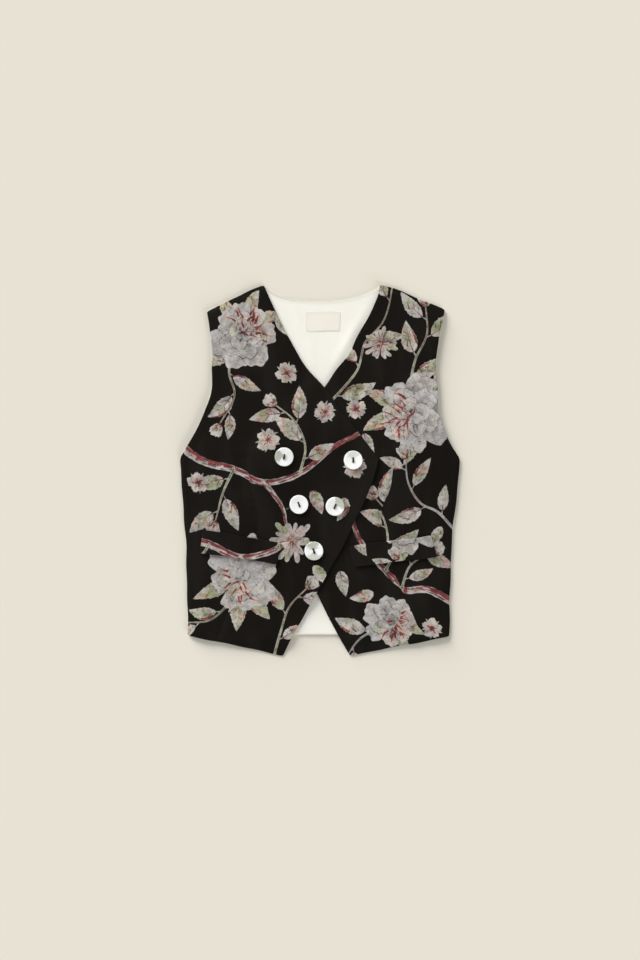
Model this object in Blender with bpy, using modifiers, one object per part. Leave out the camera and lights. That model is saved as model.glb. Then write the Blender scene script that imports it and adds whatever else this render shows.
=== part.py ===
"""A double-breasted waistcoat of figured cloth, buttoned and laid flat on its back.

The wearer's left is +X, the neck is +Y and +Z is up from the surface it lies on. The origin
is on that surface, under the middle of the garment. The back and its lining lie flat. The
wearer's left front lies over them, the right front laps over the left one, and the flaps,
buttons and label lie on their panels. Sizes are in millimetres.
"""

import math
from collections import namedtuple

import bmesh
import bpy
import numpy as np
from mathutils import Matrix, Vector

MM = 0.001

# Driving dimensions
HALF_CHEST = 210.0
HALF_LENGTH = 277.5
BACK_WALL = 1.2
LINING_WALL = 1.0
FRONT_WALL = 1.6
FLAP_WALL = 1.5
LABEL_WALL = 1.0
SEAM_GAP = 0.3

# How the fronts lie: the cloth's loft over the lining, and the air between the two laps
LOFT = 1.0
LAP_AIR = 0.5
LAP_EDGE_LIFT = 0.7
HEM_DROP_START = -250.0
HEM_DROP_WIDTH = 25.0
SEWN_BAND = 5.0
LOFT_BAND = 14.0
SWELL_BAND = 30.0
STEP_NEAR = 7.0
STEP_FAR = 34.0

# The long dart in each front
DART_BAND = 7.0
DART_WIDTH = 6.0
DART_DEPTH = 0.9

# Mesh density of a front: rows to a section, and columns each side of the dart
ROWS_PER_SECTION = 3
SIDE_COLUMNS = 6
EDGE_COLUMNS = 10
SHOULDER_COLUMNS = 4

# The back is a little smaller than the fronts, and its lining smaller again. A shoulder
# seam slopes, so its ends move by a share of the inset: down at the tip, and down and in at
# the neck.
BACK_INSET = 0.6
LINING_SEWN_INSET = 6.5
LINING_NECK_INSET = 1.6
LINING_HEM_INSET = 3.0
TIP_DOWN_SHARE = 0.6
NECK_DOWN_SHARE = 0.7
NECK_IN_SHARE = 0.4
NECK_STEPS = 3
BACK_HEM_Y = -246.0

# Label in the back neck
LABEL_CENTRE = (4.5, 223.5)
LABEL_WIDTH = 52.0
LABEL_HEIGHT = 30.0
LABEL_COLUMNS = 4
LABEL_ROWS = 3

# Flaps
FLAP_AIR = 0.5
FLAP_FLARE = 0.9
FLAP_COLUMNS = 10
FLAP_ROWS = 4

# Shell buttons. The floor inside the rim is flat as far as a share of the rim's radius.
BUTTON_RADIUS = 14.0
BUTTON_THICK = 2.6
BUTTON_RIM = 2.4
BUTTON_DISH = 0.6
BUTTON_FLOOR_SHARE = 0.85
BUTTON_EDGE = 0.7
BUTTON_SIDES = 28
BUTTON_SEAT_SAMPLES = 24
BUTTON_AIR = 0.45
HOLE_RADIUS = 1.1
HOLE_SPACING = 6.0
HOLE_SIDES = 8
SMOOTH_BELOW = math.radians(35)
MERGE = 0.00001

# A front's sections from the hem up to the shoulder. Each has a point on the side seam or
# armhole, one on the dart's line, and one on the front or neck edge.
Section = namedtuple("Section", "name side_x side_y dart_x dart_y edge_x edge_y")

RIGHT_FRONT = [
    Section("hem", -197.9, -246.8, -156.0, -255.9, -55.8, -HALF_LENGTH),
    Section("hip", -198.9, -205.0, -138.5, -212.0, -28.8, -226.5),
    Section("notch", -199.6, -165.0, -120.0, -172.0, -3.8, -180.0),
    Section("flap", -201.2, -110.0, -100.0, -114.0, 33.4, -114.5),
    Section("waist", -204.0, -66.0, -92.5, -67.0, 57.2, -65.0),
    Section("rib", -207.4, -24.0, -104.5, -24.0, 75.6, -24.0),
    Section("underarm", -HALF_CHEST, 17.8, -112.0, 19.0, 88.5, 19.0),
    Section("bust", -188.8, 54.0, -113.0, 55.5, 56.8, 57.0),
    Section("chest", -172.4, 90.0, -115.0, 92.0, 29.5, 93.0),
    Section("yoke", -162.8, 124.0, -118.0, 127.0, 4.4, 126.3),
    Section("high_chest", -161.6, 162.0, -121.0, 167.0, -27.6, 164.8),
    Section("collarbone", -163.9, 200.0, -124.0, 211.0, -51.2, 207.5),
    Section("shoulder", -169.8, 239.3, -127.0, 258.5, -84.5, HALF_LENGTH),
]

LEFT_FRONT = [
    Section("hem", 193.7, -248.3, 156.0, -255.8, 45.0, -HALF_LENGTH),
    Section("hip", 194.6, -205.0, 138.5, -212.0, 15.8, -225.5),
    Section("notch", 195.5, -165.0, 120.0, -172.0, -5.2, -183.0),
    Section("flap", 197.3, -110.5, 99.5, -114.0, -48.6, -114.5),
    Section("waist", 201.6, -66.0, 92.5, -67.0, -74.0, -67.0),
    Section("rib", 206.3, -24.0, 106.0, -24.0, -86.5, -26.0),
    Section("underarm", HALF_CHEST, 17.8, 113.0, 19.0, -88.5, 19.0),
    Section("bust", 188.9, 53.0, 113.5, 55.5, -54.0, 56.0),
    Section("chest", 178.6, 90.0, 116.0, 92.0, -21.0, 93.0),
    Section("yoke", 175.8, 124.4, 120.0, 127.0, 7.2, 125.9),
    Section("high_chest", 173.6, 164.0, 125.5, 167.0, 36.5, 163.6),
    Section("collarbone", 179.4, 200.0, 132.0, 211.0, 62.6, 209.5),
    Section("shoulder", 186.6, 242.2, 141.5, 260.3, 94.5, HALF_LENGTH),
]

# The bust swell and the soft folds that the cloth lies in, as broad ridges. A turn is the
# angle of the ridge's length from +X.
Fold = namedtuple("Fold", "x y half_length half_width turn height")

FOLDS = [
    Fold(-116.0, 22.0, 84.0, 56.0, 92.0, 6.0),
    Fold(120.0, 26.0, 84.0, 56.0, 84.0, 6.6),
    Fold(-52.0, 92.0, 100.0, 30.0, 100.0, 2.6),
    Fold(121.0, 24.0, 52.0, 21.0, 64.0, 1.9),
    Fold(146.0, 176.0, 62.0, 30.0, 72.0, 2.0),
    Fold(-126.0, 180.0, 60.0, 26.0, 80.0, 1.6),
    Fold(63.0, -210.0, 46.0, 17.0, 84.0, 1.6),
    Fold(-168.0, -205.0, 42.0, 24.0, 100.0, 2.0),
    Fold(-92.0, -200.0, 60.0, 24.0, 62.0, 1.4),
    Fold(158.0, -196.0, 48.0, 22.0, 86.0, 1.7),
    Fold(20.0, -20.0, 120.0, 34.0, 96.0, 1.6),
]

# The back neckline, from the right shoulder seam to the left one
NeckPoint = namedtuple("NeckPoint", "x y")

BACK_NECK = [
    NeckPoint(-82.5, 275.6),
    NeckPoint(-73.0, 266.6),
    NeckPoint(-56.0, 258.9),
    NeckPoint(-30.0, 254.9),
    NeckPoint(12.0, 254.3),
    NeckPoint(44.0, 257.4),
    NeckPoint(70.0, 265.9),
    NeckPoint(92.5, 275.6),
]

# Pocket flaps: the corners of each, seen from the front
Flap = namedtuple("Flap", "node front outer_top inner_top inner_low outer_low")

FLAPS = [
    Flap("right_pocket_flap", "right", (-175.5, -88.3), (-57.8, -107.8), (-64.5, -140.0), (-180.8, -122.9)),
    Flap("left_pocket_flap", "left", (166.5, -97.3), (42.8, -113.0), (51.8, -143.8), (175.5, -129.5)),
]

# Buttons, all on the right front. A turn is that of the line through the two holes, from +Y.
Button = namedtuple("Button", "node x y turn")

BUTTONS = [
    Button("button_upper_right", -53.7, 20.6, -8.0),
    Button("button_upper_left", 49.7, 15.8, 2.0),
    Button("button_middle_right", -31.5, -50.6, 20.0),
    Button("button_middle_left", 22.5, -53.5, -22.0),
    Button("button_low", -9.2, -120.1, 18.0),
]

# The section at which the side and front edges turn into the armhole and neck edges
CORNER = 6

# Colours are linear RGB
Finish = namedtuple("Finish", "colour roughness metallic")

BLACK_CLOTH = Finish((0.0102, 0.0092, 0.0074), 0.86, 0.0)
CREAM_CLOTH = Finish((0.855, 0.838, 0.745), 0.78, 0.0)
CREAM_LINING = Finish((0.887, 0.871, 0.783), 0.62, 0.0)
LABEL_CLOTH = Finish((0.823, 0.791, 0.693), 0.7, 0.0)
SHELL = Finish((0.80, 0.80, 0.76), 0.22, 0.0)


# Curves in the plan

def smooth_path(points, steps):
    """Points along a curve through the given ones, with some steps to each stretch."""
    points = np.asarray(points, float)
    tangents = np.gradient(points, axis=0)
    path = [points[0]]
    for start in range(len(points) - 1):
        for step in range(1, steps + 1):
            t = step / steps
            ends = (2 * t**3 - 3 * t**2 + 1) * points[start] + (3 * t**2 - 2 * t**3) * points[start + 1]
            slopes = (t**3 - 2 * t**2 + t) * tangents[start] + (t**3 - t**2) * tangents[start + 1]
            path.append(ends + slopes)
    return np.array(path)


def cornered_path(points, steps):
    """A smooth path with a sharp turn at the underarm section."""
    below = smooth_path(points[:CORNER + 1], steps)
    above = smooth_path(points[CORNER:], steps)
    return np.vstack([below, above[1:]])


def section_line(sections, place, steps=ROWS_PER_SECTION):
    """One of a front's long lines: its side, its dart line or its edge."""
    points = [(getattr(row, place + "_x"), getattr(row, place + "_y")) for row in sections]
    return cornered_path(points, steps)


def distance_to(path, x, y):
    """Shortest distance from each place to a line of points."""
    best = np.full(np.shape(x), 1e9)
    for start, end in zip(path[:-1], path[1:]):
        run = end - start
        along = ((x - start[0]) * run[0] + (y - start[1]) * run[1]) / (run @ run)
        along = np.clip(along, 0.0, 1.0)
        best = np.minimum(best, np.hypot(x - start[0] - along * run[0], y - start[1] - along * run[1]))
    return best


def inside(ring, x, y):
    """True for each place inside a closed ring of points."""
    odd = np.zeros(np.shape(x), bool)
    for (x0, y0), (x1, y1) in zip(ring, np.roll(ring, -1, axis=0)):
        if y0 == y1:
            continue
        crosses = (y0 > y) != (y1 > y)
        odd ^= crosses & (x < x0 + (y - y0) * (x1 - x0) / (y1 - y0))
    return odd


def soft_step(value):
    """0 below 0, 1 above 1, and an even rise between."""
    t = np.clip(value, 0.0, 1.0)
    return t * t * (3 - 2 * t)


# How high the cloth lies

def fold_height(x, y):
    """Height of the bust swell and the folds."""
    total = np.zeros(np.shape(x))
    for fold in FOLDS:
        turn = math.radians(fold.turn)
        along = (x - fold.x) * math.cos(turn) + (y - fold.y) * math.sin(turn)
        across = (y - fold.y) * math.cos(turn) - (x - fold.x) * math.sin(turn)
        total += fold.height * np.exp(-(along / fold.half_length) ** 2 - (across / fold.half_width) ** 2)
    return total


def sewn_lines(sections):
    """The two lines where a front is sewn to the back: the side seam and the shoulder seam."""
    side = section_line(sections, "side")
    below = CORNER * ROWS_PER_SECTION + 1
    top = sections[-1]
    shoulder = np.array([(top.side_x, top.side_y), (top.edge_x, top.edge_y)])
    return side[:below], shoulder


def outline_ring(sections):
    """A front's whole outline."""
    return np.vstack([section_line(sections, "side"), section_line(sections, "edge")[::-1]])


def under_height(sections, x, y):
    """Underside of a front that lies on the lining."""
    sewn = np.minimum(*[distance_to(line, x, y) for line in sewn_lines(sections)])
    dart_points = section_line(sections, "dart")[:CORNER * ROWS_PER_SECTION + 1]
    dart = distance_to(dart_points, x, y)
    panel_top = BACK_WALL + SEAM_GAP
    lining_top = panel_top + LINING_WALL + SEAM_GAP
    seat = panel_top + (lining_top - panel_top) * np.clip(sewn / SEWN_BAND, 0.0, 1.0)
    loft = LOFT * soft_step(sewn / LOFT_BAND)
    swell = fold_height(x, y) * soft_step(sewn / SWELL_BAND)
    trough = DART_DEPTH * np.exp(-(dart / DART_WIDTH) ** 2) * soft_step(sewn / LOFT_BAND)
    drop = soft_step((HEM_DROP_START - y) / HEM_DROP_WIDTH)
    return (seat + loft + swell - trough) * (1 - drop)


def left_underside(x, y):
    """Underside of the left front, which lies on the lining."""
    return under_height(LEFT_FRONT, x, y)


def right_underside(x, y):
    """Underside of the right front, which climbs over the left front's edge."""
    ring = outline_ring(LEFT_FRONT)
    outside = np.where(inside(ring, x, y), 0.0, distance_to(np.vstack([ring, ring[:1]]), x, y))
    covered = 1 - soft_step((outside - STEP_NEAR) / (STEP_FAR - STEP_NEAR))
    edge = section_line(RIGHT_FRONT, "edge")
    lift = LAP_EDGE_LIFT * np.exp(-(distance_to(edge, x, y) / LOFT_BAND) ** 2)
    return under_height(RIGHT_FRONT, x, y) + covered * (FRONT_WALL + LAP_AIR + lift)


UNDERSIDE = {"right": right_underside, "left": left_underside}


# Making the pieces

def new_collection(name):
    collection = bpy.data.collections.new(name)
    bpy.context.scene.collection.children.link(collection)
    return collection


def new_material(name, finish):
    """A plain Principled material."""
    material = bpy.data.materials.new(name)
    material.use_nodes = True
    shader = material.node_tree.nodes["Principled BSDF"]
    shader.inputs["Base Color"].default_value = (*finish.colour, 1.0)
    shader.inputs["Roughness"].default_value = finish.roughness
    shader.inputs["Metallic"].default_value = finish.metallic
    return material


def new_object(name, mesh, collection, finish=None):
    piece = bpy.data.objects.new(name, mesh)
    collection.objects.link(piece)
    if finish:
        mesh.materials.append(new_material(name, finish))
    return piece


def cloth_wall(name, points, wall, collection, finish):
    """A cloth wall that stands up from a sheet of points, given in rows, by its thickness."""
    rows, columns = points.shape[0] - 1, points.shape[1] - 1
    sheet = bmesh.new()
    bmesh.ops.create_grid(sheet, x_segments=columns, y_segments=rows, size=0.5)
    for vert in sheet.verts:
        column = round((vert.co.x + 0.5) * columns)
        row = round((vert.co.y + 0.5) * rows)
        vert.co = Vector(points[row, column]) * MM
    bmesh.ops.recalc_face_normals(sheet, faces=sheet.faces)
    if sum(face.normal.z for face in sheet.faces) < 0:
        bmesh.ops.reverse_faces(sheet, faces=sheet.faces)
    mesh = bpy.data.meshes.new(name)
    sheet.to_mesh(mesh)
    sheet.free()
    mesh.shade_smooth()
    piece = new_object(name, mesh, collection, finish)
    solidify = piece.modifiers.new("cloth thickness", "SOLIDIFY")
    solidify.thickness = wall * MM
    solidify.offset = 1.0
    return piece


def row_stops(side_length, edge_length):
    """Distances along one row of a front: close at the edges and the dart, even between."""
    side = np.linspace(SEWN_BAND, side_length - DART_BAND, SIDE_COLUMNS + 1)
    far = side_length + edge_length
    edge = np.linspace(side_length + DART_BAND, far - SEWN_BAND, EDGE_COLUMNS + 1)
    return np.concatenate([[0.0], side, [side_length], edge, [far]])


def front_plan(sections):
    """Plan points of a front, in rows from the hem up to the shoulder seam."""
    lines = [section_line(sections, place) for place in ("side", "dart", "edge")]
    near_shoulder = []
    for line in lines:
        back = line[-2] - line[-1]
        near_shoulder.append(line[-1] + back * SEWN_BAND / np.linalg.norm(back))
    lines = [np.vstack([line[:-1], near, line[-1:]]) for line, near in zip(lines, near_shoulder)]
    rows = []
    for side, dart, edge in zip(*lines):
        side_length = np.linalg.norm(dart - side)
        edge_length = np.linalg.norm(edge - dart)
        stops = row_stops(side_length, edge_length)
        marks = [0.0, side_length, side_length + edge_length]
        row_x = np.interp(stops, marks, [side[0], dart[0], edge[0]])
        row_y = np.interp(stops, marks, [side[1], dart[1], edge[1]])
        rows.append(np.column_stack([row_x, row_y]))
    return np.array(rows)


def make_front(name, sections, underside, collection):
    """One front, with its dart, from the hem to the shoulder seam."""
    plan = front_plan(sections)
    height = underside(plan[..., 0], plan[..., 1])
    return cloth_wall(name, np.dstack([plan, height]), FRONT_WALL, collection, BLACK_CLOTH)


def moved_in(path, ring, amount):
    """A line of points moved square to itself towards the inside of a ring."""
    run = np.gradient(path, axis=0)
    run /= np.linalg.norm(run, axis=1)[:, None]
    square = np.column_stack([-run[:, 1], run[:, 0]])
    middle = len(path) // 2
    trial = path[middle] + square[middle]
    if not inside(ring, trial[0], trial[1]):
        square = -square
    return path + square * amount


def back_plan(sewn_inset, neck_inset, hem_inset):
    """Plan points of the back or its lining, blended between its four edges."""
    right = section_line(RIGHT_FRONT, "side")
    left = section_line(LEFT_FRONT, "side")
    ring = np.vstack([right, left[::-1]])
    corner_row = CORNER * ROWS_PER_SECTION
    sides = []
    for path in (right, left):
        below = moved_in(path[:corner_row + 1], ring, sewn_inset)
        above = moved_in(path[corner_row:], ring, sewn_inset)
        corner = (below[-1] + above[0]) / 2
        side = np.vstack([below[:-1], corner, above[1:]])
        side[0, 1] = BACK_HEM_Y + hem_inset
        side[-1, 1] -= sewn_inset * TIP_DOWN_SHARE
        sides.append(side)
    right, left = sides
    neck = smooth_path(BACK_NECK, NECK_STEPS) - np.array([0.0, neck_inset])
    neck[0] += (sewn_inset * NECK_IN_SHARE, -sewn_inset * NECK_DOWN_SHARE)
    neck[-1] += (-sewn_inset * NECK_IN_SHARE, -sewn_inset * NECK_DOWN_SHARE)
    right_shoulder = np.linspace(right[-1], neck[0], SHOULDER_COLUMNS + 1)
    left_shoulder = np.linspace(neck[-1], left[-1], SHOULDER_COLUMNS + 1)
    top = np.vstack([right_shoulder[:-1], neck, left_shoulder[1:]])
    across = (top[:, 0] - top[0, 0]) / (top[-1, 0] - top[0, 0])
    hem = right[0] + across[:, None] * (left[0] - right[0])
    up = np.linspace(0.0, 1.0, len(right))[:, None, None]
    across = across[None, :, None]
    between_sides = (1 - across) * right[:, None, :] + across * left[:, None, :]
    between_ends = (1 - up) * hem[None] + up * top[None]
    corners = (1 - up) * ((1 - across) * hem[0] + across * hem[-1])
    corners = corners + up * ((1 - across) * top[0] + across * top[-1])
    return between_sides + between_ends - corners


def make_flat_panel(name, plan, base, wall, collection, finish):
    height = np.full(plan.shape[:2], base)
    return cloth_wall(name, np.dstack([plan, height]), wall, collection, finish)


def make_flap(flap, collection):
    """A pocket flap, sewn along its upper edge and standing off a little at its lower one."""
    across = np.linspace(0.0, 1.0, FLAP_COLUMNS + 1)[None, :, None]
    down = np.linspace(0.0, 1.0, FLAP_ROWS + 1)[:, None, None]
    corners = [np.array(point) for point in (flap.outer_top, flap.inner_top, flap.inner_low, flap.outer_low)]
    outer_top, inner_top, inner_low, outer_low = corners
    top = (1 - across) * outer_top + across * inner_top
    low = (1 - across) * outer_low + across * inner_low
    plan = (1 - down) * top + down * low
    panel_top = UNDERSIDE[flap.front](plan[..., 0], plan[..., 1]) + FRONT_WALL
    height = panel_top + FLAP_AIR + FLAP_FLARE * down[..., 0] ** 2
    return cloth_wall(flap.node, np.dstack([plan, height]), FLAP_WALL, collection, BLACK_CLOTH)


def make_label(collection):
    """The woven label, sewn to the lining below the neckline."""
    x, y = LABEL_CENTRE
    across = np.linspace(x - LABEL_WIDTH / 2, x + LABEL_WIDTH / 2, LABEL_COLUMNS + 1)
    up = np.linspace(y - LABEL_HEIGHT / 2, y + LABEL_HEIGHT / 2, LABEL_ROWS + 1)
    plan = np.dstack(np.meshgrid(across, up))
    base = BACK_WALL + LINING_WALL + 3 * SEAM_GAP
    return make_flat_panel("neck_label", plan, base, LABEL_WALL, collection, LABEL_CLOTH)


def button_mesh(guides):
    """One shell button: a turned disc, dished inside a raised rim, with two sewing holes."""
    rim = BUTTON_RADIUS - BUTTON_RIM
    profile = [
        (0.0, BUTTON_THICK - BUTTON_DISH),
        (rim * BUTTON_FLOOR_SHARE, BUTTON_THICK - BUTTON_DISH),
        (rim, BUTTON_THICK),
        (BUTTON_RADIUS - BUTTON_EDGE, BUTTON_THICK),
        (BUTTON_RADIUS, BUTTON_THICK - BUTTON_EDGE),
        (BUTTON_RADIUS, BUTTON_EDGE),
        (BUTTON_RADIUS - BUTTON_EDGE, 0.0),
        (0.0, 0.0),
    ]
    mesh = bpy.data.meshes.new("button profile")
    verts = [(radius * MM, 0.0, height * MM) for radius, height in profile]
    mesh.from_pydata(verts, [(k, k + 1) for k in range(len(verts) - 1)], [])
    disc = new_object("button blank", mesh, guides)
    screw = disc.modifiers.new("turned", "SCREW")
    screw.steps = BUTTON_SIDES
    screw.render_steps = BUTTON_SIDES
    screw.use_merge_vertices = True
    screw.merge_threshold = MERGE
    drills = []
    for side in (-1, 1):
        drill = bmesh.new()
        bmesh.ops.create_cone(drill, cap_ends=True, segments=HOLE_SIDES, radius1=HOLE_RADIUS * MM,
                              radius2=HOLE_RADIUS * MM, depth=3 * BUTTON_THICK * MM)
        drill_mesh = bpy.data.meshes.new("button drill")
        drill.to_mesh(drill_mesh)
        drill.free()
        cutter = new_object("button drill", drill_mesh, guides)
        cutter.location = (0.0, side * HOLE_SPACING / 2 * MM, 0.0)
        drills.append(cutter)
        cut = disc.modifiers.new("sewing hole", "BOOLEAN")
        cut.operation = "DIFFERENCE"
        cut.solver = "EXACT"
        cut.object = cutter
    bpy.context.view_layer.update()
    evaluated = disc.evaluated_get(bpy.context.evaluated_depsgraph_get())
    finished = bpy.data.meshes.new_from_object(evaluated)
    finished.name = "shell button"
    for guide in [disc, *drills]:
        bpy.data.objects.remove(guide, do_unlink=True)
    finished.shade_smooth()
    finished.set_sharp_from_angle(angle=SMOOTH_BELOW)
    finished.materials.clear()
    finished.materials.append(new_material("shell", SHELL))
    return finished


def seat_on_front(button):
    """Where a button lies: square to the cloth under it, and clear of it all round."""
    reach = BUTTON_RADIUS
    around = np.linspace(0.0, 2 * math.pi, BUTTON_SEAT_SAMPLES, endpoint=False)
    ring_x = button.x + BUTTON_RADIUS * np.cos(around)
    ring_y = button.y + BUTTON_RADIUS * np.sin(around)
    ends_x = np.array([button.x + reach, button.x - reach, button.x, button.x])
    ends_y = np.array([button.y, button.y, button.y + reach, button.y - reach])
    east, west, north, south = right_underside(ends_x, ends_y)
    slope_x = (east - west) / (2 * reach)
    slope_y = (north - south) / (2 * reach)
    all_x = np.append(ring_x, button.x)
    all_y = np.append(ring_y, button.y)
    plane = slope_x * (all_x - button.x) + slope_y * (all_y - button.y)
    seat = np.max(right_underside(all_x, all_y) - plane) + FRONT_WALL + BUTTON_AIR
    normal = Vector((-slope_x, -slope_y, 1.0)).normalized()
    lean = Vector((0.0, 0.0, 1.0)).rotation_difference(normal).to_matrix().to_4x4()
    spin = Matrix.Rotation(math.radians(button.turn), 4, "Z")
    return Matrix.Translation(Vector((button.x, button.y, seat)) * MM) @ lean @ spin


for old in list(bpy.data.objects):
    bpy.data.objects.remove(old, do_unlink=True)

waistcoat = new_collection("waistcoat")
guide_shapes = new_collection("guides")

make_flat_panel("back_panel", back_plan(BACK_INSET, 0.0, 0.0), 0.0, BACK_WALL, waistcoat, CREAM_CLOTH)
lining_plan = back_plan(LINING_SEWN_INSET, LINING_NECK_INSET, LINING_HEM_INSET)
make_flat_panel("back_lining", lining_plan, BACK_WALL + SEAM_GAP, LINING_WALL, waistcoat, CREAM_LINING)
make_front("left_front", LEFT_FRONT, left_underside, waistcoat)
make_front("right_front", RIGHT_FRONT, right_underside, waistcoat)
for flap_row in FLAPS:
    make_flap(flap_row, waistcoat)
make_label(waistcoat)
shell_button = button_mesh(guide_shapes)
for button_row in BUTTONS:
    placed = new_object(button_row.node, shell_button, waistcoat)
    placed.matrix_world = seat_on_front(button_row)
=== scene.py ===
"""The looks of a double-breasted waistcoat of figured black cloth, laid flat on its back."""
import math
import random
from collections import namedtuple

import bmesh
import bpy
import numpy as np
from mathutils import Matrix, Vector


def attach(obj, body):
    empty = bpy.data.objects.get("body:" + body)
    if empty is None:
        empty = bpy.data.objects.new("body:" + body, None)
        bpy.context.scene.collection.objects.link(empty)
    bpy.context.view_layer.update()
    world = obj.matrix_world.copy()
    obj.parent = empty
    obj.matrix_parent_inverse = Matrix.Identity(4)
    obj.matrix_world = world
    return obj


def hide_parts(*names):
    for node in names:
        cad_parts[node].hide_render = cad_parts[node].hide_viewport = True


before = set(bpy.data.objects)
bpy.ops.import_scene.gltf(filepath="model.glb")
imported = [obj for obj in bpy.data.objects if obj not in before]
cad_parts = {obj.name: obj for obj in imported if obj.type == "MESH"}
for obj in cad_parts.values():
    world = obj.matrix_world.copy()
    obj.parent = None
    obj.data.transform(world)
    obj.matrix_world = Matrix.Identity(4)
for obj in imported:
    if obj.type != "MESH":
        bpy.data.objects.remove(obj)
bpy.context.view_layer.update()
MM = 0.001


# The studio
# A plain pale floor seen from straight above. The light comes softly from the upper left of
# the picture, so that the garment's shadow falls below it and to its right, and a weaker light
# from the lower right leaves a faint shadow on the other sides.

PHOTO_MM_PER_PIXEL = 1.5
PHOTO_HEIGHT = 960
PHOTO_CENTRE_Y = -14.0
LENS = 85.0
SENSOR = 36.0
CLIP_END = 50.0
FLOOR_SIZE = 30.0
FLOOR_COLOUR = (0.799, 0.761, 0.658)
SKY_STRENGTH = 0.322

# Each light's strength, the angle it fills and where it comes from
Light = namedtuple("Light", "name strength spread place")

LIGHTS = [
    Light("window light", 6.42, 38, (-0.50, 0.72, 0.212)),
    Light("fill light", 2.29, 40, (0.45, -0.68, 0.22)),
]


def link(name, data):
    """Puts new data in the scene as an object."""
    piece = bpy.data.objects.new(name, data)
    bpy.context.scene.collection.objects.link(piece)
    return piece


def worked(name, shape):
    """The mesh of a shape that has been worked out."""
    mesh = bpy.data.meshes.new(name)
    shape.to_mesh(mesh)
    shape.free()
    return mesh


floor_mesh = bmesh.new()
bmesh.ops.create_grid(floor_mesh, x_segments=1, y_segments=1, size=FLOOR_SIZE / 2)
floor = link("floor", worked("floor", floor_mesh))
floor_paint = bpy.data.materials.new("pale floor")
floor_paint.use_nodes = True
floor_look = floor_paint.node_tree.nodes["Principled BSDF"].inputs
floor_look["Base Color"].default_value = (*FLOOR_COLOUR, 1.0)
floor_look["Roughness"].default_value = 0.9
floor_look["Specular IOR Level"].default_value = 0.0
floor.data.materials.append(floor_paint)

world = bpy.data.worlds.new("soft room")
world.use_nodes = True
world.node_tree.nodes["Background"].inputs["Color"].default_value = (1.0, 1.0, 1.0, 1.0)
world.node_tree.nodes["Background"].inputs["Strength"].default_value = SKY_STRENGTH
bpy.context.scene.world = world

for light in LIGHTS:
    sun = bpy.data.lights.new(light.name, "SUN")
    sun.energy = light.strength
    sun.angle = math.radians(light.spread)
    link(light.name, sun).rotation_euler = Vector(light.place).to_track_quat("Z", "Y").to_euler()

camera_data = bpy.data.cameras.new("camera")
camera_data.lens = LENS
camera_data.sensor_width = SENSOR
camera_data.clip_end = CLIP_END
camera = link("camera", camera_data)
view_height = PHOTO_HEIGHT * PHOTO_MM_PER_PIXEL * MM
camera.location = (0.0, PHOTO_CENTRE_Y * MM, view_height * LENS / SENSOR)
bpy.context.scene.camera = camera
bpy.context.scene.view_settings.view_transform = "Standard"


# The fronts
# Two lined walls of figured cloth, each shaped by a long dart that runs out at the hem. Their
# edges are turned under. They are sewn to the back at the side and shoulder seams alone.

HALF_CHEST = 210.0
HALF_LENGTH = 277.5
BACK_WALL = 1.2
LINING_WALL = 1.0
FRONT_WALL = 1.6
SEAM_GAP = 0.3
LOFT = 1.0
LAP_AIR = 0.5
LAP_EDGE_LIFT = 0.7
HEM_DROP_START = -250.0
HEM_DROP_WIDTH = 25.0
SEWN_BAND = 5.0
LOFT_BAND = 14.0
SWELL_BAND = 30.0
STEP_NEAR = 7.0
STEP_FAR = 34.0
DART_WIDTH = 6.0
DART_DEPTH = 0.9
CORNER = 6
SECTION_STEPS = 4
ROWS_PER_SECTION = 34
SIDE_COLUMNS = 62
EDGE_COLUMNS = 112
TURN_STEPS = 4
TURN_UNDER = 5.0
SEAM_LINE = 0.9
SEAM_GROOVE = 0.45
PRESS_BAND = 7.0
PRESS_RISE = 0.22
CORNER_TAKEN = 0.8
CORNER_REACH = 2.6
CORNER_SAMPLES = 8
WAVER = 0.38
WAVER_REACH = 14.0
LIFE_WAVES = 14
LIFE_HEIGHT = 0.045
LIFE_BAND = 12.0
PRESS_SOFTNESS = 3.0
PUCKER_HEIGHT = 0.10
PUCKER_LENGTH = 11.0
PUCKER_REACH = 7.0

Section = namedtuple("Section", "name side_x side_y dart_x dart_y edge_x edge_y")

RIGHT_FRONT = [
    Section("hem", -197.9, -246.8, -156.0, -255.9, -55.8, -HALF_LENGTH),
    Section("hip", -198.9, -205.0, -138.5, -212.0, -28.8, -226.5),
    Section("notch", -199.6, -165.0, -120.0, -172.0, -3.8, -180.0),
    Section("flap", -201.2, -110.0, -100.0, -114.0, 33.4, -114.5),
    Section("waist", -204.0, -66.0, -92.5, -67.0, 57.2, -65.0),
    Section("rib", -207.4, -24.0, -104.5, -24.0, 75.6, -24.0),
    Section("underarm", -HALF_CHEST, 17.8, -112.0, 19.0, 88.5, 19.0),
    Section("bust", -188.8, 54.0, -113.0, 55.5, 56.8, 57.0),
    Section("chest", -172.4, 90.0, -115.0, 92.0, 29.5, 93.0),
    Section("yoke", -162.8, 124.0, -118.0, 127.0, 4.4, 126.3),
    Section("high_chest", -161.6, 162.0, -121.0, 167.0, -27.6, 164.8),
    Section("collarbone", -163.9, 200.0, -124.0, 211.0, -51.2, 207.5),
    Section("shoulder", -169.8, 239.3, -127.0, 258.5, -84.5, HALF_LENGTH),
]

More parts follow.
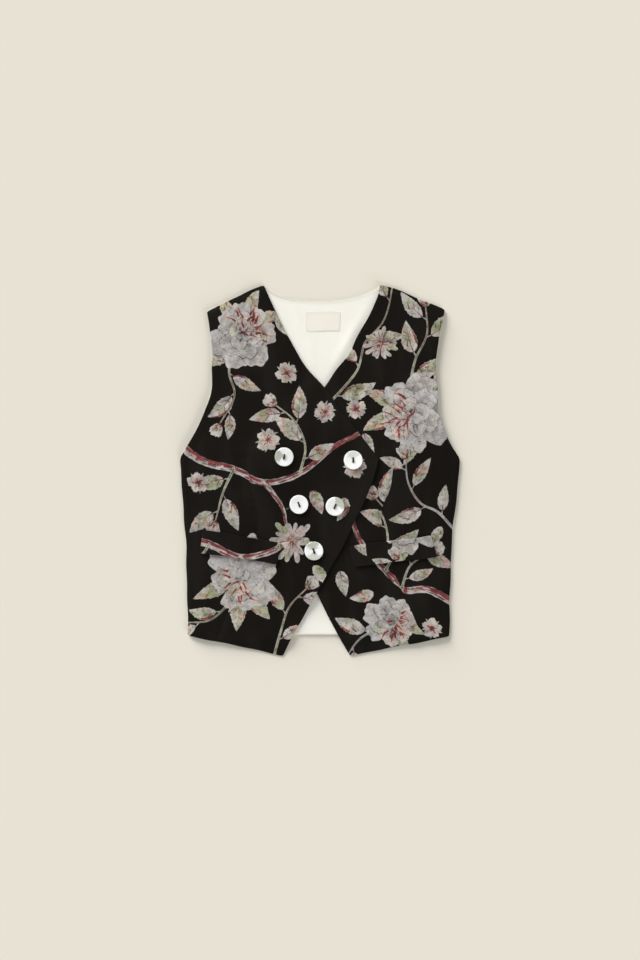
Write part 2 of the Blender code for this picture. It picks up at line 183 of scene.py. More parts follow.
LEFT_FRONT = [
    Section("hem", 193.7, -248.3, 156.0, -255.8, 45.0, -HALF_LENGTH),
    Section("hip", 194.6, -205.0, 138.5, -212.0, 15.8, -225.5),
    Section("notch", 195.5, -165.0, 120.0, -172.0, -5.2, -183.0),
    Section("flap", 197.3, -110.5, 99.5, -114.0, -48.6, -114.5),
    Section("waist", 201.6, -66.0, 92.5, -67.0, -74.0, -67.0),
    Section("rib", 206.3, -24.0, 106.0, -24.0, -86.5, -26.0),
    Section("underarm", HALF_CHEST, 17.8, 113.0, 19.0, -88.5, 19.0),
    Section("bust", 188.9, 53.0, 113.5, 55.5, -54.0, 56.0),
    Section("chest", 178.6, 90.0, 116.0, 92.0, -21.0, 93.0),
    Section("yoke", 175.8, 124.4, 120.0, 127.0, 7.2, 125.9),
    Section("high_chest", 173.6, 164.0, 125.5, 167.0, 36.5, 163.6),
    Section("collarbone", 179.4, 200.0, 132.0, 211.0, 62.6, 209.5),
    Section("shoulder", 186.6, 242.2, 141.5, 260.3, 94.5, HALF_LENGTH),
]

# The bust swell and the soft folds, as broad ridges: the same ones as in the solids. Each has
# its place, how far it reaches along and across, its turn and its height.
Fold = namedtuple("Fold", "x y half_length half_width turn height")

FOLDS = [
    Fold(-116.0, 22.0, 84.0, 56.0, 92.0, 6.0),
    Fold(120.0, 26.0, 84.0, 56.0, 84.0, 6.6),
    Fold(-52.0, 92.0, 100.0, 30.0, 100.0, 2.6),
    Fold(121.0, 24.0, 52.0, 21.0, 64.0, 1.9),
    Fold(146.0, 176.0, 62.0, 30.0, 72.0, 2.0),
    Fold(-126.0, 180.0, 60.0, 26.0, 80.0, 1.6),
    Fold(63.0, -210.0, 46.0, 17.0, 84.0, 1.6),
    Fold(-168.0, -205.0, 42.0, 24.0, 100.0, 2.0),
    Fold(-92.0, -200.0, 60.0, 24.0, 62.0, 1.4),
    Fold(158.0, -196.0, 48.0, 22.0, 86.0, 1.7),
    Fold(20.0, -20.0, 120.0, 34.0, 96.0, 1.6),
]


def smooth_path(points, steps):
    """Points along a curve through the given ones, with some steps to each stretch."""
    points = np.asarray(points, float)
    tangents = np.gradient(points, axis=0)
    path = [points[0]]
    for start in range(len(points) - 1):
        for step in range(1, steps + 1):
            t = step / steps
            ends = (2 * t**3 - 3 * t**2 + 1) * points[start] + (3 * t**2 - 2 * t**3) * points[start + 1]
            slopes = (t**3 - 2 * t**2 + t) * tangents[start] + (t**3 - t**2) * tangents[start + 1]
            path.append(ends + slopes)
    return np.array(path)


def section_line(sections, place, steps=SECTION_STEPS):
    """One of a front's long lines, with a sharp turn at the underarm section."""
    points = [(getattr(row, place + "_x"), getattr(row, place + "_y")) for row in sections]
    below = smooth_path(points[:CORNER + 1], steps)
    return np.vstack([below, smooth_path(points[CORNER:], steps)[1:]])


def distance_to(path, x, y):
    """Shortest distance from each place to a line of points."""
    best = np.full(np.shape(x), 1e9)
    for start, end in zip(path[:-1], path[1:]):
        run = end - start
        along = ((x - start[0]) * run[0] + (y - start[1]) * run[1]) / (run @ run)
        along = np.clip(along, 0.0, 1.0)
        best = np.minimum(best, np.hypot(x - start[0] - along * run[0], y - start[1] - along * run[1]))
    return best


def inside(ring, x, y):
    """True for each place inside a closed ring of points."""
    odd = np.zeros(np.shape(x), bool)
    for (x0, y0), (x1, y1) in zip(ring, np.roll(ring, -1, axis=0)):
        if y0 == y1:
            continue
        crosses = (y0 > y) != (y1 > y)
        odd ^= crosses & (x < x0 + (y - y0) * (x1 - x0) / (y1 - y0))
    return odd


def soft_step(value):
    """0 below 0, 1 above 1, and an even rise between."""
    t = np.clip(value, 0.0, 1.0)
    return t * t * (3 - 2 * t)


def fold_height(folds, x, y):
    """Height of some folds together."""
    total = np.zeros(np.shape(x))
    for fold in folds:
        turn = math.radians(fold.turn)
        along = (x - fold.x) * math.cos(turn) + (y - fold.y) * math.sin(turn)
        across = (y - fold.y) * math.cos(turn) - (x - fold.x) * math.sin(turn)
        total += fold.height * np.exp(-(along / fold.half_length) ** 2 - (across / fold.half_width) ** 2)
    return total


def front_ring(sections):
    """The closed border of a front."""
    side = section_line(sections, "side")
    return np.vstack([side, section_line(sections, "edge")[::-1], side[:1]])


def off_front(sections, x, y):
    """How far each place lies outside a front."""
    ring = front_ring(sections)
    return np.where(inside(ring, x, y), 0.0, distance_to(ring, x, y))


def lower_gap(sections, place, x, y):
    """How far each place lies from the part of a long line below the underarm."""
    return distance_to(section_line(sections, place)[:CORNER * SECTION_STEPS + 1], x, y)


def under_height(sections, x, y):
    """Underside of a front that lies on the lining."""
    top = sections[-1]
    shoulder = np.array([(top.side_x, top.side_y), (top.edge_x, top.edge_y)])
    sewn = np.minimum(lower_gap(sections, "side", x, y), distance_to(shoulder, x, y))
    dart = lower_gap(sections, "dart", x, y)
    panel_top = BACK_WALL + SEAM_GAP
    lining_top = panel_top + LINING_WALL + SEAM_GAP
    seat = panel_top + (lining_top - panel_top) * soft_step(sewn / SEWN_BAND)
    loft = LOFT * soft_step(sewn / LOFT_BAND)
    swell = fold_height(FOLDS, x, y) * soft_step(sewn / SWELL_BAND)
    trough = DART_DEPTH * np.exp(-(dart / DART_WIDTH) ** 2) * soft_step(sewn / LOFT_BAND)
    drop = soft_step((HEM_DROP_START - y) / HEM_DROP_WIDTH)
    return (seat + loft + swell - trough) * (1 - drop)


def left_underside(x, y):
    """Underside of the left front, which lies on the lining."""
    return under_height(LEFT_FRONT, x, y)


def right_underside(x, y):
    """Underside of the right front, which climbs over the left front's edge."""
    covered = 1 - soft_step((off_front(LEFT_FRONT, x, y) - STEP_NEAR) / (STEP_FAR - STEP_NEAR))
    edge = section_line(RIGHT_FRONT, "edge")
    lift = LAP_EDGE_LIFT * np.exp(-(distance_to(edge, x, y) / LOFT_BAND) ** 2)
    return under_height(RIGHT_FRONT, x, y) + covered * (FRONT_WALL + LAP_AIR + lift)


def cloth_life(x, y, seed):
    """The slight unevenness of a pressed cloth that has been worn."""
    draw = random.Random(seed)
    total = np.zeros(np.shape(x))
    for _ in range(LIFE_WAVES):
        wave = draw.uniform(38.0, 95.0)
        turn = draw.uniform(0.0, math.pi)
        shift = draw.uniform(0.0, 2 * math.pi)
        total += np.sin((x * math.cos(turn) + y * math.sin(turn)) * 2 * math.pi / wave + shift)
    return total * LIFE_HEIGHT


def front_top(sections, underside, x, y):
    """Upper face of a front, with its dart seam and pressed edges."""
    dart = lower_gap(sections, "dart", x, y)
    border = distance_to(front_ring(sections), x, y)
    groove = SEAM_GROOVE * np.exp(-(dart / SEAM_LINE) ** 2)
    press = PRESS_RISE * (1 - soft_step((border - PRESS_BAND) / PRESS_SOFTNESS))
    pucker = np.sin(y * 2 * math.pi / PUCKER_LENGTH) * np.exp(-(dart / PUCKER_REACH) ** 2)
    life = cloth_life(x, y, len(sections) + int(sections[0].side_x)) * soft_step(border / LIFE_BAND)
    return underside(x, y) + FRONT_WALL - groove + press + PUCKER_HEIGHT * pucker + life


def front_plan(sections, rows, side_columns, edge_columns):
    """Plan points of a front, in rows from the hem up to the shoulder seam."""
    lines = [section_line(sections, place, rows) for place in ("side", "dart", "edge")]
    side, dart, edge = (line[:, None, :] for line in lines)
    across = np.linspace(0.0, 1.0, side_columns + 1)[None, :, None]
    side_part = side + (dart - side) * across
    across = np.linspace(0.0, 1.0, edge_columns + 1)[None, 1:, None]
    edge_part = dart + (edge - dart) * across
    return np.concatenate([side_part, edge_part], axis=1)


GRID_CORNERS = [(0, 0), (0, -1), (-1, 0), (-1, -1)]


def soften(plan, corners=GRID_CORNERS):
    """Rounds off a front's corners a little, and lets its edges waver as worn cloth does."""
    ring = np.vstack([plan[0], plan[1:, -1], plan[-1, -2::-1], plan[-2:0:-1, 0]])
    softened = plan.copy()
    for row, column in corners:
        spot = plan[row, column]
        at = np.linalg.norm(ring - spot, axis=1).argmin()
        beside = ring[(at - CORNER_SAMPLES) % len(ring)] + ring[(at + CORNER_SAMPLES) % len(ring)]
        inward = beside / 2 - spot
        inward /= np.linalg.norm(inward)
        gap = np.linalg.norm(plan - spot, axis=2)
        softened += inward * (CORNER_TAKEN * np.exp(-(gap / CORNER_REACH) ** 2))[..., None]
    x, y = plan[..., 0], plan[..., 1]
    border = distance_to(np.vstack([ring, ring[:1]])[::3], x, y)
    near_edge = WAVER * np.exp(-(border / WAVER_REACH) ** 2)
    softened[..., 0] += near_edge * (np.sin(y / 9.1 + 1.0) + np.sin(y / 15.7 - x / 23.0))
    softened[..., 1] += near_edge * (np.sin(x / 8.3) + np.sin(x / 17.9 + y / 21.0 + 2.0))
    return softened


# Where a shoulder or the neck edge lies off its sections: the place, the reach and how far
Push = namedtuple("Push", "x y reach right up")

PUSHES = [
    Push(-104.0, 270.0, 22.0, 0.0, 1.6),
    Push(95.0, 278.0, 12.0, -4.5, 1.4),
    Push(122.0, 268.0, 24.0, 0.0, 1.6),
    Push(28.0, 153.0, 20.0, -3.8, 0.0),
    Push(57.0, 200.0, 22.0, -1.8, 0.0),
]


def pushed(plan):
    """Lets the shoulders and the neck edge lie as they do in the photograph."""
    moved = plan.copy()
    for push in PUSHES:
        gap = np.hypot(plan[..., 0] - push.x, plan[..., 1] - push.y)
        share = np.exp(-(gap / push.reach) ** 2)
        moved[..., 0] += push.right * share
        moved[..., 1] += push.up * share
    return moved


def left_of(run):
    """Directions turned a quarter to the left."""
    return np.stack([-run[..., 1], run[..., 0]], axis=-1)


def square_to(path):
    """Unit directions square to a line of points."""
    run = np.gradient(path, axis=0)
    return left_of(run / np.linalg.norm(run, axis=1)[:, None])


def outward(border, inner):
    """Unit directions in the plan, square to a border and away from the row inside it."""
    square = square_to(border[:, :2])
    wrong = np.sum(square * (border[:, :2] - inner[:, :2]), axis=1) < 0
    square[wrong] *= -1
    return square


def beyond(count):
    """Places along a side of a grid that has been widened, and how far each lies beyond it."""
    widened = np.arange(-TURN_STEPS - 1, count + TURN_STEPS + 1)
    held = np.clip(widened, 0, count - 1)
    return held, np.abs(widened - held)


def widened(values):
    """A grid of values, with its border values carried out over the turned edges."""
    row_at, column_at = beyond(values.shape[0])[0], beyond(values.shape[1])[0]
    return values[row_at][:, column_at]


def turned_sheet(points, wall):
    """A sheet of points with its edges turned over a round fold and a little way under."""
    rows, columns = points.shape[:2]
    radius = wall / 2
    away_row = np.zeros((rows, columns, 2))
    away_row[0] = outward(points[0], points[1])
    away_row[-1] = outward(points[-1], points[-2])
    away_column = np.zeros((rows, columns, 2))
    away_column[:, 0] = outward(points[:, 0], points[:, 1])
    away_column[:, -1] = outward(points[:, -1], points[:, -2])
    over_row, over_column = np.meshgrid(beyond(rows)[1], beyond(columns)[1], indexing="ij")
    total = over_row + over_column
    share = np.where(total == 0, 0.5, over_row / np.maximum(total, 1))[..., None]
    away = share * widened(away_row) + (1 - share) * widened(away_column)
    away /= np.maximum(np.linalg.norm(away, axis=2), 1e-6)[..., None]
    over = np.maximum(over_row, over_column)
    angle = np.minimum(over, TURN_STEPS) / TURN_STEPS * math.pi
    out = np.where(over > TURN_STEPS, -TURN_UNDER, radius * np.sin(angle) - radius)
    sheet = widened(points).copy()
    sheet[..., :2] += away * out[..., None]
    sheet[..., 2] -= radius * (1 - np.cos(angle))
    return sheet


def grid_piece(name, points, fields=None):
    """A cloth piece whose mesh is a grid laid on rows of points in millimetres."""
    rows, columns = points.shape[0] - 1, points.shape[1] - 1
    cloth = bmesh.new()
    bmesh.ops.create_grid(cloth, x_segments=columns, y_segments=rows, size=0.5)
    mesh = worked(name, cloth)
    flat = np.empty(len(mesh.vertices) * 3)
    mesh.vertices.foreach_get("co", flat)
    flat = flat.reshape(-1, 3)
    column = np.rint((flat[:, 0] + 0.5) * columns).astype(int)
    row = np.rint((flat[:, 1] + 0.5) * rows).astype(int)
    mesh.vertices.foreach_set("co", (points[row, column] * MM).ravel())
    mesh.update()
    if sum(face.normal.z for face in mesh.polygons) < 0:
        mesh.flip_normals()
    mesh.shade_smooth()
    for key, values in (fields or {}).items():
        if values.ndim == 3:
            layer = mesh.attributes.new(key, "FLOAT_COLOR", "POINT")
            opaque = np.ones((len(row), 4))
            opaque[:, :3] = values[row, column]
            layer.data.foreach_set("color", opaque.ravel())
        else:
            layer = mesh.attributes.new(key, "FLOAT", "POINT")
            layer.data.foreach_set("value", values[row, column])
    return link(name, mesh)


def turned_piece(name, plan, height, wall, fields):
    """A cloth piece with its edges turned under, and its fields carried over them."""
    points = turned_sheet(np.dstack([plan, height]), wall)
    return grid_piece(name, points, {key: widened(value) for key, value in fields.items()})


# The woven figure: pale flowers, leaves and twigs, in threads that float over the black
# ground. It is drawn motif by motif in the plan, as distances to the edges of its shapes,
# its dark lines and its crimson strokes, and as a tint, which the cloth then shows.

FIELDS = ("figure", "ink", "crimson")
FAR = 40.0
TINT_EDGE = 1.0
PALE = np.array([0.500, 0.464, 0.430])
PALE_COOL = np.array([0.396, 0.380, 0.374])
PALE_WARM = np.array([0.535, 0.478, 0.402])
PEACH = np.array([0.610, 0.385, 0.280])
SAGE = np.array([0.322, 0.343, 0.196])
OLIVE = np.array([0.184, 0.211, 0.077])
ROSE = np.array([0.430, 0.150, 0.145])
DARTS_TAKE_IN = 15.0
DART_LOW = -262.0
DART_LENGTH = 281.0


def blank_figure(x, y):
    """A cloth with no figure on it yet."""
    figure = {key: np.full(x.size, FAR) for key in FIELDS}
    return {"x": x.ravel(), "y": y.ravel(), "tint": np.tile(PALE, (x.size, 1)), **figure}


def near_to(figure, points, margin):
    """The places on the cloth within a margin of some points."""
    low = points.min(axis=0) - margin
    high = points.max(axis=0) + margin
    x, y = figure["x"], figure["y"]
    return np.nonzero((x > low[0]) & (x < high[0]) & (y > low[1]) & (y < high[1]))[0]


def line_gap(path, x, y):
    """Distance to a line of points, and how far along it the nearest point is."""
    run = np.diff(path, axis=0)
    dx = x[:, None] - path[None, :-1, 0]
    dy = y[:, None] - path[None, :-1, 1]
    length = np.maximum((run ** 2).sum(axis=1), 1e-9)
    along = np.clip((dx * run[:, 0] + dy * run[:, 1]) / length, 0.0, 1.0)
    gap = np.hypot(dx - along * run[:, 0], dy - along * run[:, 1])
    nearest = gap.argmin(axis=1)
    places = np.arange(len(x))
    return gap[places, nearest], (nearest + along[places, nearest]) / len(run)


def lay_tint(figure, near, gap, tint, line=0.0):
    """Paints a tint over the places where the gap is below nothing, with a dark line round it."""
    cover = np.clip(0.5 - gap / TINT_EDGE, 0.0, 1.0)[:, None]
    figure["tint"][near] = figure["tint"][near] * (1 - cover) + tint * cover
    figure["figure"][near] = np.minimum(figure["figure"][near], gap)
    within = gap < 0
    around = np.minimum(figure["ink"][near], gap + 0.2 + line)
    figure["ink"][near] = np.where(within, line - gap, around)
    figure["crimson"][near] = np.where(within, FAR, figure["crimson"][near])


def lay_shape(figure, ring, tint, washes=(), line=0.0):
    """A closed shape of one tint, with washes of others, each a place, a reach and a tint."""
    near = near_to(figure, ring, 3.0)
    if not len(near):
        return
    x, y = figure["x"][near], figure["y"][near]
    gap, _ = line_gap(np.vstack([ring, ring[:1]]), x, y)
    gap = np.where(inside(ring, x, y), -gap, gap)
    shade = np.tile(tint, (len(near), 1))
    for place, reach, wash in washes:
        weight = np.exp(-((x - place[0]) ** 2 + (y - place[1]) ** 2) / reach ** 2)[:, None]
        shade = shade * (1 - weight) + wash * weight
    lay_tint(figure, near, gap, shade, line)


def taper_gap(figure, path, start_width, end_width):
    """The places near a tapering line, and how far each lies outside it."""
    near = near_to(figure, path, start_width + 3.0)
    gap, along = line_gap(path, figure["x"][near], figure["y"][near])
    return near, gap - (start_width + (end_width - start_width) * along) / 2


def lay_stem(figure, path, start_width, end_width, tint):
    """A stem or a branch, tapering from one end to the other."""
    lay_tint(figure, *taper_gap(figure, path, start_width, end_width), tint)


def stroke(figure, kind, path, start_width, end_width):
    """A dark or crimson stroke within the figure."""
    near, gap = taper_gap(figure, path, start_width, end_width)
    figure[kind][near] = np.minimum(figure[kind][near], gap)


def toward(turn):
    """The direction at a turn in degrees."""
    return np.array([math.cos(math.radians(turn)), math.sin(math.radians(turn))])


def spine_of(base, length, turn, bend, points=15):
    """A bent line from a base: its points, and the directions square to it."""
    share = np.linspace(0.0, 1.0, points)
    heading = np.radians(turn + bend * (share - 0.3))
    step = length / (points - 1)
    path = np.zeros((points, 2))
    path[1:, 0] = np.cumsum(np.cos(heading[1:])) * step
    path[1:, 1] = np.cumsum(np.sin(heading[1:])) * step
    square = np.column_stack([-np.sin(heading), np.cos(heading)])
    return np.asarray(base) + path, square, share


# A leaf's tints: its two halves, and what washes over the middle and the edge of each
LeafTints = namedtuple("LeafTints", "near far middle edge")

LEAF_TINTS = [
    LeafTints(PALE, PALE_COOL, SAGE, PEACH),
    LeafTints(PALE * 1.05, PALE * 0.86, OLIVE * 1.5, ROSE),
    LeafTints(PALE_WARM, PALE, SAGE * 0.9, PEACH),
    LeafTints(SAGE * 1.1, PALE, OLIVE, PALE_WARM),
    LeafTints(PALE, PALE_COOL * 0.9, PALE_WARM, SAGE),
]


def leaf(figure, base, length, width, turn, draw, tints=None, red=0.6):
    """A pointed leaf: two halves of their own tints, a toothed edge, a midrib and side veins."""
    tints = tints or draw.choice(LEAF_TINTS)
    spine, square, share = spine_of(base, length, turn, draw.uniform(-44, 44), 21)
    half = width / 2 * np.sin(math.pi * share ** draw.uniform(0.66, 0.80)) ** 0.95
    place = np.arange(len(share))
    teeth = 1 + 0.05 * np.cos(place * math.pi) + 0.05 * np.sin(place * 1.7 + turn)
    left = spine + square * (half * teeth)[:, None]
    right = spine - square * (half * (2 - teeth) * draw.uniform(0.78, 1.0))[:, None]
    for side, tint in ((left, tints.near), (right, tints.far)):
        at = draw.randint(5, 12)
        middle = spine[at] * 0.72 + side[at] * 0.28
        at = draw.randint(7, 16)
        rim = spine[at] * 0.2 + side[at] * 0.8
        washes = [(middle, length * 0.17, tints.middle), (rim, length * 0.12, tints.edge)]
        lay_shape(figure, np.vstack([spine, side[-2:0:-1]]), tint * draw.uniform(0.92, 1.06), washes)
    for at in range(3, len(share) - 5, 4):
        for side in (left, right):
            tip = spine[at + 3] * 0.3 + side[at + 3] * 0.7
            stroke(figure, "ink", np.array([spine[at], tip]), 0.7, 0.1)
    stroke(figure, "crimson" if draw.random() < red else "ink", spine[:draw.randint(9, 15)], 1.7, 0.3)
    if draw.random() < red:
        first = draw.randint(0, 9)
        last = first + draw.randint(6, 10)
        side = left if draw.random() < 0.5 else right
        rim = spine[first:last] * 0.16 + side[first:last] * 0.84
        stroke(figure, "crimson", rim, draw.uniform(2.6, 4.2), 0.8)
    if draw.random() < red:
        at = draw.randint(5, 9)
        hook = spine[at:at + 5] + square[at:at + 5] * (np.linspace(0.5, 0.1, 5) * half[at])[:, None]
        stroke(figure, "crimson", hook, 2.0, 0.3)


def fan_petal(figure, root, length, spread, turn, draw, tint, washes=(), ruffled=1.0, line=0.0):
    """A broad petal with a ruffled rim. Returns a line up its middle for its strokes."""
    swing = np.linspace(-1.0, 1.0, 25)
    shift = draw.uniform(0, 2 * math.pi)
    ruffle = 0.045 * np.sin(swing * 6.5 + shift) + 0.03 * np.sin(swing * 14.0 + 2 * shift)
    reach = length * (1 - 0.42 * np.abs(swing) ** 3.0) * (1 + ruffled * ruffle)
    heading = np.radians(turn + swing * spread)
    rim = root + np.column_stack([np.cos(heading), np.sin(heading)]) * reach[:, None]
    lay_shape(figure, np.vstack([[root], rim]), tint, washes, line)
    return root + np.outer(np.linspace(0.0, 0.86, 12), toward(turn)) * length


def petal_strokes(figure, middle, length, draw, red, count):
    """Strokes that fan out along a petal from its root, most of them fine and dark."""
    run = (middle[-1] - middle[0]) / length
    square = left_of(run)
    for _ in range(count):
        lean = draw.uniform(-0.34, 0.34) * length
        hook = draw.uniform(-0.12, 0.12) * length
        first = draw.uniform(0.12, 0.50)
        last = first + draw.uniform(0.18, 0.42)
        share = np.linspace(first, last, 7)
        bow = np.sin(np.linspace(0, math.pi, 7)) * hook
        path = middle[0] + np.outer(share * length, run) + np.outer(lean * share + bow, square)
        if draw.random() < red:
            stroke(figure, "crimson", path, draw.uniform(1.8, 3.4), 0.4)
        else:
            stroke(figure, "ink", path, draw.uniform(0.4, 0.9), 0.1)


# The rings of a double blossom, from its rim in: reach, number of petals, half-spread, ruffle
# and how thin the dark line round each petal is
PetalRing = namedtuple("PetalRing", "reach petals spread ruffled line")

PETAL_RINGS = [
    PetalRing(1.00, 7, 33, 0.8, -0.15),
    PetalRing(0.76, 6, 36, 0.7, -0.25),
    PetalRing(0.52, 5, 40, 0.6, -0.20),
    PetalRing(0.29, 4, 46, 0.5, -0.05),
]


def blossom(figure, x, y, radius, turn, seed, sepals=3):
    """A full double blossom on a few green leaves: smooth pale petals, struck with crimson."""
    draw = random.Random(seed)
    centre = np.array([x, y])
    for k in range(sepals):
        angle = turn + 130 + k * 52 + draw.uniform(-12, 12)
        root = centre + radius * 0.45 * toward(angle)
        tints = LeafTints(SAGE * 1.1, PALE_WARM * 0.9, OLIVE * 1.4, PEACH * 0.9)
        leaf(figure, root, radius * draw.uniform(0.85, 1.05), radius * 0.42, angle, draw, tints, 0.8)
    for level, ring in enumerate(PETAL_RINGS):
        for k in range(ring.petals):
            angle = turn + 360.0 * (k + draw.uniform(-0.15, 0.15) + 0.5 * level) / ring.petals
            length = radius * ring.reach * (1 + 0.20 * math.cos(math.radians(angle - turn)))
            length *= draw.uniform(0.90, 1.06)
            root = centre - radius * 0.08 * toward(turn)
            root = root + radius * 0.04 * np.array([draw.uniform(-1, 1), draw.uniform(-1, 1)])
            heading = toward(angle)
            struck = max(0.0, math.cos(math.radians(angle - turn - 160)))
            shadow = draw.choice([PALE_COOL * 0.60, PALE_COOL * 0.74, PALE * 0.62])
            washes = [(root + heading * length * 0.40, length * 0.36, shadow)]
            if draw.random() < 0.2 + 0.4 * struck and level > 0:
                wash = draw.choice([PEACH, PEACH, PALE_WARM * 1.1, SAGE * 1.3])
                off = left_of(heading) * length * draw.uniform(-0.3, 0.3)
                washes.append((root + heading * length * 0.75 + off, length * 0.22, wash))
            tint = draw.choice([PALE, PALE_COOL * 1.1, PALE_COOL * 1.2, PALE * 1.06])
            tint = tint * draw.uniform(1.02, 1.16)
            middle = fan_petal(figure, root, length, ring.spread, angle, draw, tint, washes, ring.ruffled,
                               ring.line)
            petal_strokes(figure, middle, length, draw, 0.0, 3)
    for k in range(17):
        lean = 160 + draw.uniform(-78, 78)
        out = radius * draw.uniform(0.16, 0.62)
        start = centre + toward(turn + lean) * out
        length = radius * draw.uniform(0.16, 0.34)
        path, _, _ = spine_of(start, length, turn + lean + draw.uniform(-34, 34), draw.uniform(-50, 50), 9)
        near = near_to(figure, path, 9.0)
        gap, _ = line_gap(path, figure["x"][near], figure["y"][near])
        glow = 0.5 * np.exp(-(gap / 3.2) ** 2)[:, None] * (figure["figure"][near] < -2.0)[:, None]
        figure["tint"][near] = figure["tint"][near] * (1 - glow) + PEACH * glow
        stroke(figure, "crimson", path, draw.uniform(2.0, 3.8), 0.4)
    for _ in range(6):
        path, _, _ = spine_of(centre, radius * draw.uniform(0.12, 0.24), draw.uniform(0, 360), 50, 7)
        stroke(figure, "crimson", path, 2.6, 0.6)


def shaggy_blossom(figure, x, y, radius, turn, seed):
    """A blossom of many narrow petals with crimson edges."""
    draw = random.Random(seed)
    centre = np.array([x, y])
    for share, count in ((1.0, 14), (0.76, 12), (0.52, 9), (0.30, 6)):
        for k in range(count):
            angle = turn + 360.0 * (k + draw.uniform(-0.3, 0.3)) / count
            length = radius * share * draw.uniform(0.82, 1.14)
            spine, square, along = spine_of(centre, length, angle, draw.uniform(-30, 30))
            half = length * 0.15 * (along ** 0.7) * (1 - along ** 6) ** 0.5
            left = spine + square * half[:, None]
            right = spine - square * half[:, None]
            tint = draw.choice([PALE, PALE_WARM, SAGE * 1.1, PALE_COOL, PALE])
            root_wash = draw.choice([ROSE, ROSE, OLIVE * 1.4, PEACH])
            washes = [(centre, length * 0.55, root_wash)]
            lay_shape(figure, np.vstack([left, right[-2:0:-1]]), tint, washes)
            if draw.random() < 0.6:
                side = left if draw.random() < 0.5 else right
                stroke(figure, "crimson", side[4:13], 1.9, 0.5)


def small_blossom(figure, x, y, radius, turn, seed):
    """A flat five-petalled blossom with a red eye."""
    draw = random.Random(seed)
    centre = np.array([x, y])
    for k in range(5):
        leaf(figure, centre, radius * 1.12, radius * 0.3, turn + 36 + 72.0 * k, draw, LEAF_TINTS[3], 0.1)
    for k in range(5):
        angle = turn + 72.0 * k + draw.uniform(-7, 7)
        length = radius * draw.uniform(0.92, 1.06)
        eye_wash = (centre, radius * 0.52, draw.choice([ROSE * 1.2, PEACH]))
        tint = draw.choice([PALE, PALE * 1.08, PALE_COOL, PALE_WARM])
        middle = fan_petal(figure, centre, length, 33, angle, draw, tint, [eye_wash])
        petal_strokes(figure, middle, length, draw, 0.15, 2)
    for k in range(7):
        path, _, _ = spine_of(centre, radius * draw.uniform(0.20, 0.34), 51.0 * k, 0.0, 3)
        stroke(figure, "crimson", path, 2.2, 1.2)


def bud(figure, base, length, turn, draw):
    """A round bud with crimson edges, in two green sepals."""
    base = np.asarray(base)
    for lean, share in ((-20, 0.9), (20, 0.95), (0, 1.0)):
        wash = (base, length * 0.5, draw.choice([ROSE, PEACH, SAGE]))
        middle = fan_petal(figure, base, length * share, 27, turn + lean, draw, PALE * 1.04, [wash])
        petal_strokes(figure, middle, length, draw, 0.7, 3)
    for lean in (-42, 42):
        leaf(figure, base, length * 0.62, length * 0.26, turn + lean, draw, LEAF_TINTS[3], 0.9)


def twig(figure, points, leaves, leaf_length, seed, width=2.1, buds=1):
    """A twig with leaves to either side of it and buds at its tip."""
    draw = random.Random(seed)
    path = smooth_path(points, 8)
    run = np.gradient(path, axis=0)
    heading = np.degrees(np.arctan2(run[:, 1], run[:, 0]))
    for k in range(leaves):
        place = int((k + 0.8) / leaves * (len(path) - 3))
        side = 1 if k % 2 else -1
        stalk, _, _ = spine_of(path[place], leaf_length * 0.18, heading[place] + side * 42, side * 20, 5)
        lay_stem(figure, stalk, width * 0.8, width * 0.6, PALE_COOL)
        length = leaf_length * draw.uniform(0.85, 1.2)
        lean = heading[place] + side * draw.uniform(28, 58)
        leaf(figure, stalk[-1], length, length * draw.uniform(0.40, 0.50), lean, draw)
    lay_stem(figure, path, width * 1.9, width * 0.8, draw.choice([SAGE, SAGE * 0.8, PALE_COOL]))
    stroke(figure, "ink", path[:len(path) * 2 // 3] + width * 0.25, width * 0.3, 0.2)
    stroke(figure, "crimson", path[len(path) // 2:], width * 0.5, 0.2)
    for k in range(buds):
        lean = heading[-1] + (k - (buds - 1) / 2) * 52
        bud(figure, path[-1], leaf_length * 0.46, lean, draw)


def branch(figure, points, start_width, end_width, seed, red_side=1):
    """A woody branch, pale along one side and mottled with crimson along the other."""
    draw = random.Random(seed)
    path = smooth_path(points, 10)
    square = square_to(path) * red_side
    knots = np.array([draw.uniform(-0.5, 0.5) for _ in path])
    lay_stem(figure, path + square * knots[:, None], start_width, end_width, PALE * 0.95)
    width = np.linspace(start_width, end_width, len(path))
    for _ in range(len(path) * 2):
        first = draw.randrange(len(path) - 3)
        last = min(first + draw.randint(2, 7), len(path))
        lean = draw.uniform(0.0, 0.5) if draw.random() < 0.85 else draw.uniform(-0.5, 0.0)
        bark = path[first:last] + square[first:last] * (width[first:last] * lean)[:, None]
        if len(bark) > 1:
            stroke(figure, "crimson", bark, draw.uniform(1.2, 0.26 * start_width), 0.6)
    for _ in range(len(path) // 2):
        first = draw.randrange(len(path) - 3)
        bark = path[first:first + 3] + square[first:first + 3] * (width[first:first + 3] * -0.2)[:, None]
        stroke(figure, "ink", bark, 0.9, 0.2)


# The single leaves between the sprays: where each starts, its length and its turn
SingleLeaf = namedtuple("SingleLeaf", "x y length turn")

RIGHT_SINGLE_LEAVES = [
    SingleLeaf(-66, 232, 38, 306),
    SingleLeaf(-14, -30, 40, 300),
    SingleLeaf(36, -40, 38, 262),
    SingleLeaf(-10, -142, 38, 305),
]

LEFT_SINGLE_LEAVES = [
    SingleLeaf(66, 56, 36, 290),
    SingleLeaf(30, -150, 40, 282),
    SingleLeaf(196, -84, 34, 240),
    SingleLeaf(80, -182, 38, 200),
    SingleLeaf(182, 150, 34, 250),
]


def single_leaves(figure, rows, seed):
    """The single leaves of one front."""
    draw = random.Random(seed)
    for row in rows:
        leaf(figure, (row.x, row.y), row.length, row.length * 0.48, row.turn, draw)


